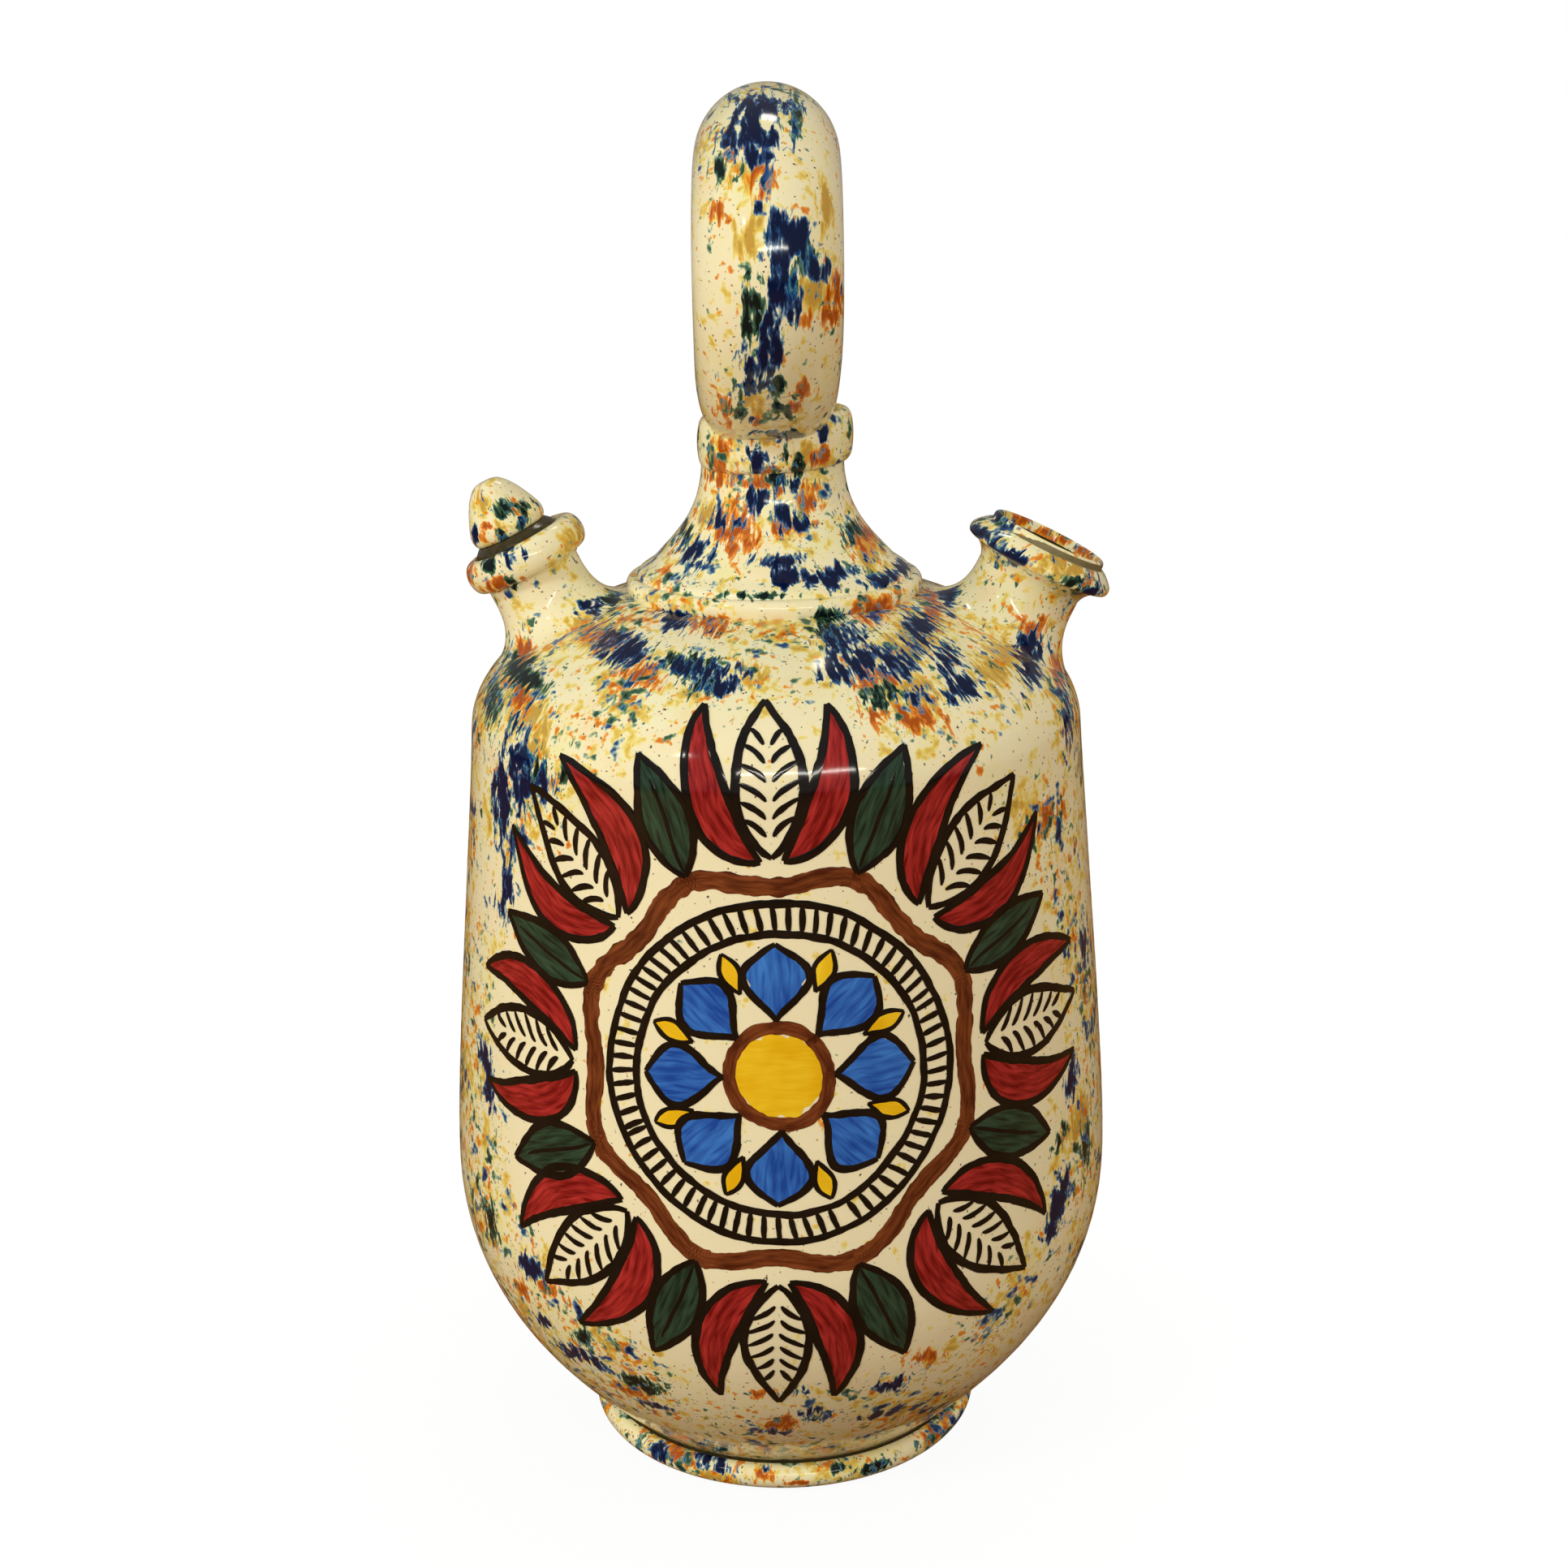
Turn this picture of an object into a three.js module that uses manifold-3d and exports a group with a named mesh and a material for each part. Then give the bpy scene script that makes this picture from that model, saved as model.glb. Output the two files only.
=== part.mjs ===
// A two-spouted water jug with a ring handle. Thrown clay members are luted together with slip:
// a foot ring, a pot, a shoulder, a neck, a collar, a hollow ring handle, and two spouts with
// their rims. A loose stopper with an acorn knob closes the pouring spout.
// Millimetres, +Z up, foot on z = 0. The spouts lie along X, the handle's loop in the YZ plane.
import * as THREE from "three";
import { LoftGeometry } from "three/addons/geometries/LoftGeometry.js";
import { mergeVertices } from "three/addons/utils/BufferGeometryUtils.js";
import Module from "manifold-3d";

const wasm = await Module();
wasm.setup();

// Joints
const SLIP = 0.3; // line of slip between two luted members
const STOPPER_PLAY = 0.4; // room round the stopper in its bore and its seat

// Foot ring
const FOOT_RADIUS = 59.4; // at the fullest line of its rounded edge
const FOOT_HEIGHT = 9;
const FOOT_BULGE = 4.2; // how far the edge rounds out
const FOOT_WIDTH = 13; // from the inner wall to the fullest line
const FOOT_CHAMFER = 2; // at the inner edge of the resting face

// Pot
const POT_FOOT_RADIUS = 55.5; // crease above the foot ring
const BELLY_RADIUS = 99; // fullest line
const BELLY_RISE = 81; // from the foot ring to the fullest line
const SEAM_RADIUS = 89; // where the shoulder is luted on
const SEAM_RISE = 217; // from the foot ring to the shoulder's seam
const COVE_REACH = 17; // first pull of the outline out of the crease
const COVE_RISE = 16;
const BELLY_SWEEP = 40; // length of the outline's upright run below the fullest line
const WALL_SWEEP = 32; // and of the run above it
const SEAM_LEAN = 1.6; // how far the wall leans in over its last stretch
const SEAM_SWEEP = 30;
const WALL = 6; // of the pot and the shoulder
const FLOOR = 7;

// Shoulder
const SHOULDER_RISE = 36; // from the seam to the neck's seat
const SHOULDER_TOP_RADIUS = 43.5; // outer edge of the neck's seat
const SHOULDER_SWEEP = 17; // length of the outline's upright run above the seam
const SHOULDER_LEAN = 1.9;
const CROWN_REACH = 24.5; // last, flatter run of the outline towards the neck
const CROWN_DROP = 8;

// Neck
const NECK_OPENING = 33; // radius of the way from the pot up into the neck
const NECK_BEAD_RADIUS = 42;
const NECK_BEAD_BULGE = 5;
const NECK_BEAD_HEIGHT = 6.8;
const NECK_RISE = 37; // from the shoulder to the collar's seat
const NECK_FOOT_RADIUS = 37; // of the trumpet, above the bead
const NECK_TOP_RADIUS = 20.6;
const NECK_FLARE = 7; // pull of the trumpet's outline at its foot
const NECK_FLARE_RISE = 7;
const NECK_SWEEP = 14; // pull of the trumpet's outline at its top
const NECK_WALL = 5;
const SPIGOT_RADIUS = 14; // stub on the neck that the collar fits over
const SPIGOT_HEIGHT = 5.5;
const VENT_RADIUS = 3; // airway from the neck into the hollow handle

// Collar
const COLLAR_RADIUS = 21.8;
const COLLAR_BULGE = 1.8;
const COLLAR_HEIGHT = 13;

// Ring handle
const HANDLE_HEIGHT = 98; // outer height and depth of the ring
const HANDLE_DEPTH = 118;
const HANDLE_WIDTH = 39.8; // of the tube, seen along the ring's plane
const HANDLE_PALM = 11; // from the tube's widest line to the hole's face
const HANDLE_WALL = 5;

// Spouts
const SPOUT_TILT = THREE.MathUtils.degToRad(26); // of each spout's axis, outwards from upright
const SPOUT_FILLET = 9; // sweep of a spout's foot onto the shoulder
const SPOUT_EDGE = 0.6; // thickness of the fillet where it ends

// Filling spout, on the +X side
const FILL_SEAT = 67.8; // distance from the jug's axis to where the spout's axis meets the shoulder
const FILL_NECK = 13.2; // length of its neck above that
const FILL_NECK_RADIUS = 15.7;
const FILL_BORE = 11.3;
const FLANGE_RADIUS = 22.2; // edge of the rim's flange
const FLANGE_RISE = 6.6;
const FLANGE_CUP = 3.4; // how the flange's underside hollows on its way out
const FLANGE_CROWN = 4; // how its upper side swells on its way to the lip
const LIP_RADIUS = 17.4; // raised lip
const LIP_FOOT = 12.1; // height at which the lip leaves the flange
const LIP_RISE = 14;
const LIP_WIDTH = 1.8;
const LEDGE_RADIUS = 13.6; // ledge inside the lip, the seat of a lid
const LEDGE_RISE = 10.8;
const THROAT_RISE = 1.5; // height at which the funnel reaches the bore

// Pouring spout, on the -X side, and its stopper
const POUR_SEAT = 63.2;
const POUR_NECK = 15.4;
const POUR_NECK_RADIUS = 13.9;
const POUR_BORE = 9.3;
const POUR_RIM_RADIUS = 17.8;
const POUR_RIM_BULGE = 2.9;
const POUR_RIM_HEIGHT = 11;
const SEAT_RADIUS = 13; // rebate in the rim that the stopper's disc rests in
const SEAT_DEPTH = 2;
const DISC_EDGE = 1.1; // height of the disc's upright edge
const DISC_CONE = 2.2; // rise of its sloping top
const PLUG_LENGTH = 11;
const PLUG_TAPER = 0.8; // how much slimmer the plug is at its end
const KNOB_FOOT_RADIUS = 10.4;
const KNOB_RADIUS = 11; // acorn's fullest line
const KNOB_SHOULDER = 3.4; // height of that line above the disc
const KNOB_HEIGHT = 16.2;
const KNOB_TIP = 4; // radius at which the acorn rounds over its tip

// Facets
const POT_SIDES = 40;
const NECK_SIDES = 28;
const SPOUT_SIDES = 24;
const RING_STEPS = 32;
const SECTION_STEPS = 16;
const BEND_STEPS = 7;
const BEAD_STEPS = 6;
const SOLE_STEPS = 8; // across the underside of a spout's foot
const WELD = 1e-4; // points closer than this are one

// Heights of the seams between the members
const POT_BASE = FOOT_HEIGHT + SLIP;
const BELLY_LINE = FOOT_HEIGHT + BELLY_RISE;
const SEAM = FOOT_HEIGHT + SEAM_RISE;
const CROWN = SEAM + SHOULDER_RISE;
const NECK_BASE = CROWN + SLIP;
const NECK_TOP = CROWN + NECK_RISE;
const HANDLE_BASE = NECK_TOP + SPIGOT_HEIGHT + SLIP;

const GLAZE = { color: 0xe6d6aa, roughness: 0.18, metalness: 0 };
const BARE_CLAY = { color: 0x8a7f5c, roughness: 0.6, metalness: 0 };

const at = (radius, height) => new THREE.Vector2(radius, height);

function bend(from, lead, trail, to) {
  return new THREE.CubicBezierCurve(from, lead, trail, to).getPoints(BEND_STEPS);
}

// Rounded edge of a member: half an ellipse standing out by the bulge, from its bottom to its top.
function bead(radius, bulge, bottom, height) {
  const middle = bottom + height / 2;
  const turn = Math.PI / 2;
  return new THREE.EllipseCurve(radius - bulge, middle, bulge, height / 2, -turn, turn).getPoints(BEAD_STEPS);
}

// Outline that runs upwards, moved square to itself; a positive distance is outwards.
function offset(outline, distance) {
  return outline.map((point, i) => {
    const before = outline[Math.max(i - 1, 0)];
    const after = outline[Math.min(i + 1, outline.length - 1)];
    const run = after.clone().sub(before).normalize();
    return at(point.x + run.y * distance, point.y - run.x * distance);
  });
}

// Radius of an upward outline at a height.
function radiusAt(outline, height) {
  const next = outline.findIndex((point) => point.y >= height);
  const i = next < 0 ? outline.length - 1 : Math.max(next, 1);
  const share = (height - outline[i - 1].y) / (outline[i].y - outline[i - 1].y);
  return THREE.MathUtils.lerp(outline[i - 1].x, outline[i].x, share);
}

// Height of the shoulder's outline at a radius.
function shoulderHeight(radius) {
  const next = SHOULDER.findIndex((point) => point.x <= radius);
  const [outer, inner] = [SHOULDER[next - 1], SHOULDER[next]];
  return THREE.MathUtils.mapLinear(radius, outer.x, inner.x, outer.y, inner.y);
}

function signedVolume(position, index) {
  const corner = [new THREE.Vector3(), new THREE.Vector3(), new THREE.Vector3()];
  let volume = 0;
  for (let i = 0; i < index.length; i += 3) {
    corner.forEach((point, k) => point.fromBufferAttribute(position, index[i + k]));
    volume += corner[0].dot(corner[1].cross(corner[2])) / 6;
  }
  return volume;
}

// Closed mesh with shared corners, no empty triangles, and its faces pointing out.
function welded(geometry) {
  const plain = new THREE.BufferGeometry().copy(geometry);
  plain.deleteAttribute("normal");
  plain.deleteAttribute("uv");
  const merged = mergeVertices(plain, WELD);
  const faces = [];
  for (let i = 0; i < merged.index.count; i += 3) {
    const [a, b, c] = [0, 1, 2].map((k) => merged.index.getX(i + k));
    if (a !== b && b !== c && c !== a) faces.push([a, b, c]);
  }
  if (signedVolume(merged.attributes.position, faces.flat()) < 0) faces.forEach((face) => face.reverse());
  merged.setIndex(faces.flat());
  return merged;
}

function turned(profile, sides) {
  const lathe = new THREE.LatheGeometry([...profile, profile[0]], sides);
  lathe.rotateX(Math.PI / 2);
  return welded(lathe);
}

// Skin through sections that follow each other round a closed ring.
function looped(sections) {
  return welded(new LoftGeometry([...sections, sections[0]]));
}

function solid(geometry) {
  const vertProperties = Float32Array.from(geometry.attributes.position.array);
  const triVerts = Uint32Array.from(geometry.index.array);
  return new wasm.Manifold(new wasm.Mesh({ numProp: 3, vertProperties, triVerts }));
}

function cut(geometry, ...tools) {
  const rest = tools.reduce((whole, tool) => whole.subtract(solid(tool)), solid(geometry));
  const mesh = rest.getMesh();
  const result = new THREE.BufferGeometry();
  result.setAttribute("position", new THREE.BufferAttribute(mesh.vertProperties, 3));
  result.setIndex(new THREE.BufferAttribute(mesh.triVerts, 1));
  return result;
}

// Round drill along Z between two heights.
function drill(radius, bottom, top) {
  const tool = new THREE.CylinderGeometry(radius, radius, top - bottom, SPOUT_SIDES);
  tool.rotateX(Math.PI / 2);
  tool.translate(0, 0, (bottom + top) / 2);
  return welded(tool);
}

// Outer outline of the pot: out of the crease, round the belly, and leaning in to the seam.
const POT = [
  ...bend(
    at(POT_FOOT_RADIUS, POT_BASE),
    at(POT_FOOT_RADIUS + COVE_REACH, POT_BASE + COVE_RISE),
    at(BELLY_RADIUS, BELLY_LINE - BELLY_SWEEP),
    at(BELLY_RADIUS, BELLY_LINE),
  ),
  ...bend(
    at(BELLY_RADIUS, BELLY_LINE),
    at(BELLY_RADIUS, BELLY_LINE + WALL_SWEEP),
    at(SEAM_RADIUS + SEAM_LEAN, SEAM - SEAM_SWEEP),
    at(SEAM_RADIUS, SEAM),
  ).slice(1),
];

// Outer outline of the shoulder, from the seam to the neck's seat.
const SHOULDER = bend(
  at(SEAM_RADIUS, SEAM + SLIP),
  at(SEAM_RADIUS - SHOULDER_LEAN, SEAM + SHOULDER_SWEEP),
  at(SHOULDER_TOP_RADIUS + CROWN_REACH, CROWN - CROWN_DROP),
  at(SHOULDER_TOP_RADIUS, CROWN),
);

// What a spout's foot rests against: pot and shoulder, one line of slip outwards.
const LUTING_FACE = offset([...POT, ...SHOULDER.slice(1)], SLIP);

function footRing() {
  const inner = FOOT_RADIUS - FOOT_WIDTH;
  return turned(
    [
      at(inner + FOOT_CHAMFER, 0),
      ...bead(FOOT_RADIUS, FOOT_BULGE, 0, FOOT_HEIGHT),
      at(inner, FOOT_HEIGHT),
      at(inner, FOOT_CHAMFER),
    ],
    POT_SIDES,
  );
}

function pot() {
  const floorTop = POT_BASE + FLOOR;
  const lining = offset(POT, -WALL);
  const inside = lining.filter((point) => point.y > floorTop + FLOOR / 2 && point.y < SEAM - WALL / 2);
  return turned(
    [
      at(0, POT_BASE),
      ...POT,
      at(SEAM_RADIUS - WALL, SEAM),
      ...inside.reverse(),
      at(radiusAt(lining, floorTop), floorTop),
      at(0, floorTop),
    ],
    POT_SIDES,
  );
}

function shoulder(spouts) {
  const inside = offset(SHOULDER, -WALL).slice(1, -1);
  const blank = turned(
    [
      ...SHOULDER,
      at(NECK_OPENING, CROWN),
      at(NECK_OPENING, CROWN - WALL),
      ...inside.reverse(),
      at(SEAM_RADIUS - WALL, SEAM + SLIP),
    ],
    POT_SIDES,
  );
  const bores = spouts.map((spout) => {
    const reach = WALL + spout.bore;
    return drill(spout.bore, -reach, reach).applyMatrix4(spout.group.matrixWorld);
  });
  return cut(blank, ...bores);
}

function neck() {
  const foot = NECK_BASE + NECK_BEAD_HEIGHT;
  const trumpet = bend(
    at(NECK_FOOT_RADIUS, foot),
    at(NECK_FOOT_RADIUS - NECK_FLARE, foot + NECK_FLARE_RISE),
    at(NECK_TOP_RADIUS, NECK_TOP - NECK_SWEEP),
    at(NECK_TOP_RADIUS, NECK_TOP),
  );
  const ceiling = NECK_TOP - NECK_WALL;
  const inside = offset(trumpet, -NECK_WALL).filter((point) => point.y > NECK_BASE && point.y < ceiling);
  return turned(
    [
      ...bead(NECK_BEAD_RADIUS, NECK_BEAD_BULGE, NECK_BASE, NECK_BEAD_HEIGHT),
      ...trumpet,
      at(SPIGOT_RADIUS, NECK_TOP),
      at(SPIGOT_RADIUS, NECK_TOP + SPIGOT_HEIGHT),
      at(VENT_RADIUS, NECK_TOP + SPIGOT_HEIGHT),
      at(VENT_RADIUS, ceiling),
      at(NECK_TOP_RADIUS - NECK_WALL, ceiling),
      ...inside.reverse(),
      at(NECK_OPENING, NECK_BASE),
    ],
    NECK_SIDES,
  );
}

// Ring of one tube in the YZ plane: round outside, flatter on the palm side that faces the hole.
// The skin lies the given depth inside the handle's own surface.
function ring(depth) {
  const half = HANDLE_WIDTH / 2;
  const centre = at(HANDLE_DEPTH / 2 - half, HANDLE_HEIGHT / 2 - half);
  const middle = HANDLE_BASE + HANDLE_HEIGHT / 2;
  const sections = [];
  for (let i = 0; i < RING_STEPS; i += 1) {
    const turn = (i / RING_STEPS) * 2 * Math.PI;
    const spot = at(centre.x * Math.sin(turn), -centre.y * Math.cos(turn));
    const outwards = at(centre.y * Math.sin(turn), -centre.x * Math.cos(turn)).normalize();
    const section = [];
    for (let k = 0; k < SECTION_STEPS; k += 1) {
      const angle = (k / SECTION_STEPS) * 2 * Math.PI;
      const thickness = Math.sin(angle) < 0 ? HANDLE_PALM : half;
      const stand = (thickness - depth) * Math.sin(angle);
      const point = spot.clone().addScaledVector(outwards, stand);
      section.push(new THREE.Vector3((half - depth) * Math.cos(angle), point.x, middle + point.y));
    }
    sections.push(section);
  }
  return looped(sections);
}

function ringHandle() {
  const vent = drill(VENT_RADIUS, NECK_TOP, HANDLE_BASE + 2 * HANDLE_WALL);
  return cut(ring(0), ring(HANDLE_WALL), vent);
}

function collar() {
  const base = NECK_TOP + SLIP;
  const inner = SPIGOT_RADIUS + SLIP;
  const blank = turned(
    [
      at(inner, base),
      ...bead(COLLAR_RADIUS, COLLAR_BULGE, base, COLLAR_HEIGHT),
      at(inner, base + COLLAR_HEIGHT),
    ],
    NECK_SIDES,
  );
  return cut(blank, ring(-SLIP));
}

// Spout's own frame: its origin on the shoulder, Z along the spout, X outwards.
function spoutFrame(side, seat) {
  const group = new THREE.Group();
  group.position.set(side * seat, 0, shoulderHeight(seat));
  group.rotation.y = side * SPOUT_TILT;
  group.updateMatrixWorld();
  return group;
}

// Height in the spout's frame at which a line beside its axis meets the luting face.
function landing(group, radius, angle) {
  let [low, high] = [-BELLY_RISE, BELLY_RISE];
  while (high - low > WELD) {
    const height = (low + high) / 2;
    const point = new THREE.Vector3(radius * Math.cos(angle), radius * Math.sin(angle), height);
    point.applyMatrix4(group.matrixWorld);
    const inside = point.z < CROWN + SLIP && Math.hypot(point.x, point.y) < radiusAt(LUTING_FACE, point.z);
    if (inside) low = height;
    else high = height;
  }
  return high;
}

// Neck of a spout, with a foot that sweeps out onto the curved shoulder and follows it underneath.
function spoutNeck({ group, radius, bore, length }) {
  const top = length - SLIP;
  const edge = radius + SPOUT_FILLET;
  const sections = [];
  for (let i = 0; i < SPOUT_SIDES; i += 1) {
    const angle = (i / SPOUT_SIDES) * 2 * Math.PI;
    const land = (distance) => at(distance, landing(group, distance, angle));
    const sole = [];
    for (let k = 0; k <= SOLE_STEPS; k += 1) {
      sole.push(land(THREE.MathUtils.lerp(edge, bore, k / SOLE_STEPS)));
    }
    const tubeFoot = land(radius).y + SPOUT_EDGE;
    const sweep = new THREE.QuadraticBezierCurve(
      at(radius, Math.min(tubeFoot + SPOUT_FILLET, top - SPOUT_EDGE)),
      at(radius, tubeFoot),
      at(edge, sole[0].y + SPOUT_EDGE),
    );
    const outline = [at(bore, top), at(radius, top), ...sweep.getPoints(BEAD_STEPS), ...sole];
    const place = (p) => new THREE.Vector3(p.x * Math.cos(angle), p.x * Math.sin(angle), p.y);
    sections.push(outline.map(place));
  }
  return looped(sections);
}

// Rim of the filling spout: a flange, a raised lip, and a ledge above the funnel.
function fillingRim() {
  const edge = at(FLANGE_RADIUS, FLANGE_RISE);
  const foot = at(FILL_NECK_RADIUS, 0);
  const lipFoot = at(LIP_RADIUS, LIP_FOOT);
  const under = new THREE.QuadraticBezierCurve(foot, at(foot.x, FLANGE_CUP), edge);
  const over = new THREE.QuadraticBezierCurve(edge, at(edge.x, edge.y + FLANGE_CROWN), lipFoot);
  const half = LIP_WIDTH / 2;
  const lip = new THREE.EllipseCurve(LIP_RADIUS - half, LIP_RISE - half, half, half, 0, Math.PI);
  const profile = [
    at(FILL_BORE, 0),
    ...under.getPoints(BEAD_STEPS),
    ...over.getPoints(BEAD_STEPS).slice(1),
    ...lip.getPoints(BEAD_STEPS),
    at(LEDGE_RADIUS + half, LEDGE_RISE),
    at(LEDGE_RADIUS, LEDGE_RISE),
    at(FILL_BORE, THROAT_RISE),
  ];
  return turned(profile, SPOUT_SIDES).translate(0, 0, FILL_NECK);
}

// Rim of the pouring spout: a full bead, rebated on top for the stopper's disc.
function pouringRim() {
  const seat = POUR_RIM_HEIGHT - SEAT_DEPTH;
  const profile = [
    at(POUR_BORE, 0),
    ...bead(POUR_RIM_RADIUS, POUR_RIM_BULGE, 0, POUR_RIM_HEIGHT),
    at(SEAT_RADIUS, POUR_RIM_HEIGHT),
    at(SEAT_RADIUS, seat),
    at(POUR_BORE, seat),
  ];
  return turned(profile, SPOUT_SIDES).translate(0, 0, POUR_NECK);
}

// Height of the stopper's disc above the shoulder, along the spout.
const DISC_BASE = POUR_NECK + POUR_RIM_HEIGHT - SEAT_DEPTH + SLIP;
const DISC_TOP = DISC_BASE + DISC_EDGE + DISC_CONE;

function stopperPlug() {
  const plug = POUR_BORE - STOPPER_PLAY;
  const disc = SEAT_RADIUS - STOPPER_PLAY;
  const profile = [
    at(0, -PLUG_LENGTH),
    at(plug - PLUG_TAPER, -PLUG_LENGTH),
    at(plug, 0),
    at(disc, 0),
    at(disc, DISC_EDGE),
    at(KNOB_FOOT_RADIUS, DISC_EDGE + DISC_CONE),
    at(0, DISC_EDGE + DISC_CONE),
  ];
  return turned(profile, SPOUT_SIDES).translate(0, 0, DISC_BASE);
}

function stopperKnob() {
  const swell = new THREE.QuadraticBezierCurve(
    at(KNOB_FOOT_RADIUS, 0),
    at(KNOB_RADIUS, KNOB_SHOULDER / 2),
    at(KNOB_RADIUS, KNOB_SHOULDER),
  );
  const acorn = bend(
    at(KNOB_RADIUS, KNOB_SHOULDER),
    at(KNOB_RADIUS, 2 * KNOB_SHOULDER),
    at(KNOB_TIP, KNOB_HEIGHT),
    at(0, KNOB_HEIGHT),
  );
  const profile = [at(0, 0), ...swell.getPoints(BEAD_STEPS / 2), ...acorn.slice(1)];
  return turned(profile, SPOUT_SIDES).translate(0, 0, DISC_TOP + SLIP);
}

function member(name, geometry, finish) {
  geometry.computeVertexNormals();
  const mesh = new THREE.Mesh(geometry, new THREE.MeshStandardMaterial(finish));
  mesh.name = name;
  return mesh;
}

const filling = {
  group: spoutFrame(1, FILL_SEAT),
  radius: FILL_NECK_RADIUS,
  bore: FILL_BORE,
  length: FILL_NECK,
};
const pouring = {
  group: spoutFrame(-1, POUR_SEAT),
  radius: POUR_NECK_RADIUS,
  bore: POUR_BORE,
  length: POUR_NECK,
};

filling.group.add(
  member("filling_neck", spoutNeck(filling), GLAZE),
  member("filling_rim", fillingRim(), GLAZE),
);
pouring.group.add(
  member("pouring_neck", spoutNeck(pouring), GLAZE),
  member("pouring_rim", pouringRim(), GLAZE),
  member("stopper_plug", stopperPlug(), BARE_CLAY),
  member("stopper_knob", stopperKnob(), GLAZE),
);

const jug = new THREE.Group();
jug.add(
  member("foot_ring", footRing(), GLAZE),
  member("pot", pot(), GLAZE),
  member("shoulder", shoulder([filling, pouring]), GLAZE),
  member("neck", neck(), GLAZE),
  member("collar", collar(), GLAZE),
  member("ring_handle", ringHandle(), GLAZE),
  filling.group,
  pouring.group,
);

export default jug;
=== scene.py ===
# %% [markdown]
# # A splash-glazed water jug
# The jug is thrown and luted together from members of clay, dipped in a cream glaze, flicked with
# loaded brushes, painted with a rosette and fired. This lesson builds it the same way: first the
# turned shapes, then the glaze, then the brushwork, and last a plain studio.

# %% Frame
import math

import bpy
import numpy as np
from mathutils import Matrix, Vector, noise


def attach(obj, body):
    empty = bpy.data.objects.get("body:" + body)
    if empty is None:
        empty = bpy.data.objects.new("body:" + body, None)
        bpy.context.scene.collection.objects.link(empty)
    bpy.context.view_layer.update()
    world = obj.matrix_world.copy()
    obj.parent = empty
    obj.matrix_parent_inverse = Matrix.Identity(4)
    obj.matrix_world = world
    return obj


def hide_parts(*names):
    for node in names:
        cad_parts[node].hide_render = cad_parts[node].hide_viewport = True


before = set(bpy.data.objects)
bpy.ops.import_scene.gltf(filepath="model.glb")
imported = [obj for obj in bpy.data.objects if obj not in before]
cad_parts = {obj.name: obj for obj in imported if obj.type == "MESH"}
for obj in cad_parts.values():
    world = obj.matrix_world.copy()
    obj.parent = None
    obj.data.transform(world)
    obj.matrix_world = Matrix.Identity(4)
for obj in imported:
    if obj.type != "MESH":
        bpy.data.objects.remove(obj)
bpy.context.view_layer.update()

MM = 0.001

# %% [markdown]
# ## Two small tools
# Colours are written as the hex codes that a colour picker shows and turned to linear light once.
# Every node of every tree below is added by one function: it takes the settings and what to plug
# into each input, either a value or another node.


# %% Colour and node helpers
def linear(code):
    """Linear RGBA of an sRGB hex code."""
    parts = [int(code[i : i + 2], 16) / 255 for i in (1, 3, 5)]
    return [c / 12.92 if c <= 0.04045 else ((c + 0.055) / 1.055) ** 2.4 for c in parts] + [1.0]


def add(tree, kind, inputs=(), **settings):
    """Adds a node; inputs go by name or by order, as values, sockets or nodes to link from."""
    node = tree.nodes.new(kind)
    for name, value in settings.items():
        setattr(node, name, value)
    pairs = inputs.items() if isinstance(inputs, dict) else enumerate(inputs)
    for key, value in pairs:
        if isinstance(value, bpy.types.Node):
            value = value.outputs[0]
        if isinstance(value, bpy.types.NodeSocket):
            tree.links.new(value, node.inputs[key])
        else:
            node.inputs[key].default_value = value
    return node


# %% [markdown]
# ## The outlines
# A potter's shape is one curve turned round an axis. The curves here are those of the part's
# source, with the small grooves that a hand leaves where two members meet. They are in millimetres:
# a radius and a height for each point, joined by Bezier bends.


# %% Outlines
def bend(start, lead, trail, end, steps=24):
    """Points of a cubic Bezier, both ends included."""
    t = np.linspace(0, 1, steps + 1)[:, None]
    a, b, c, d = (np.array(p, float) for p in (start, lead, trail, end))
    return (1 - t) ** 3 * a + 3 * (1 - t) ** 2 * t * b + 3 * (1 - t) * t**2 * c + t**3 * d


def inset(outline, distance):
    """An upward outline moved square to itself towards the axis."""
    run = np.gradient(outline, axis=0)
    run /= np.linalg.norm(run, axis=1)[:, None]
    return outline + distance * np.c_[-run[:, 1], run[:, 0]]


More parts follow.
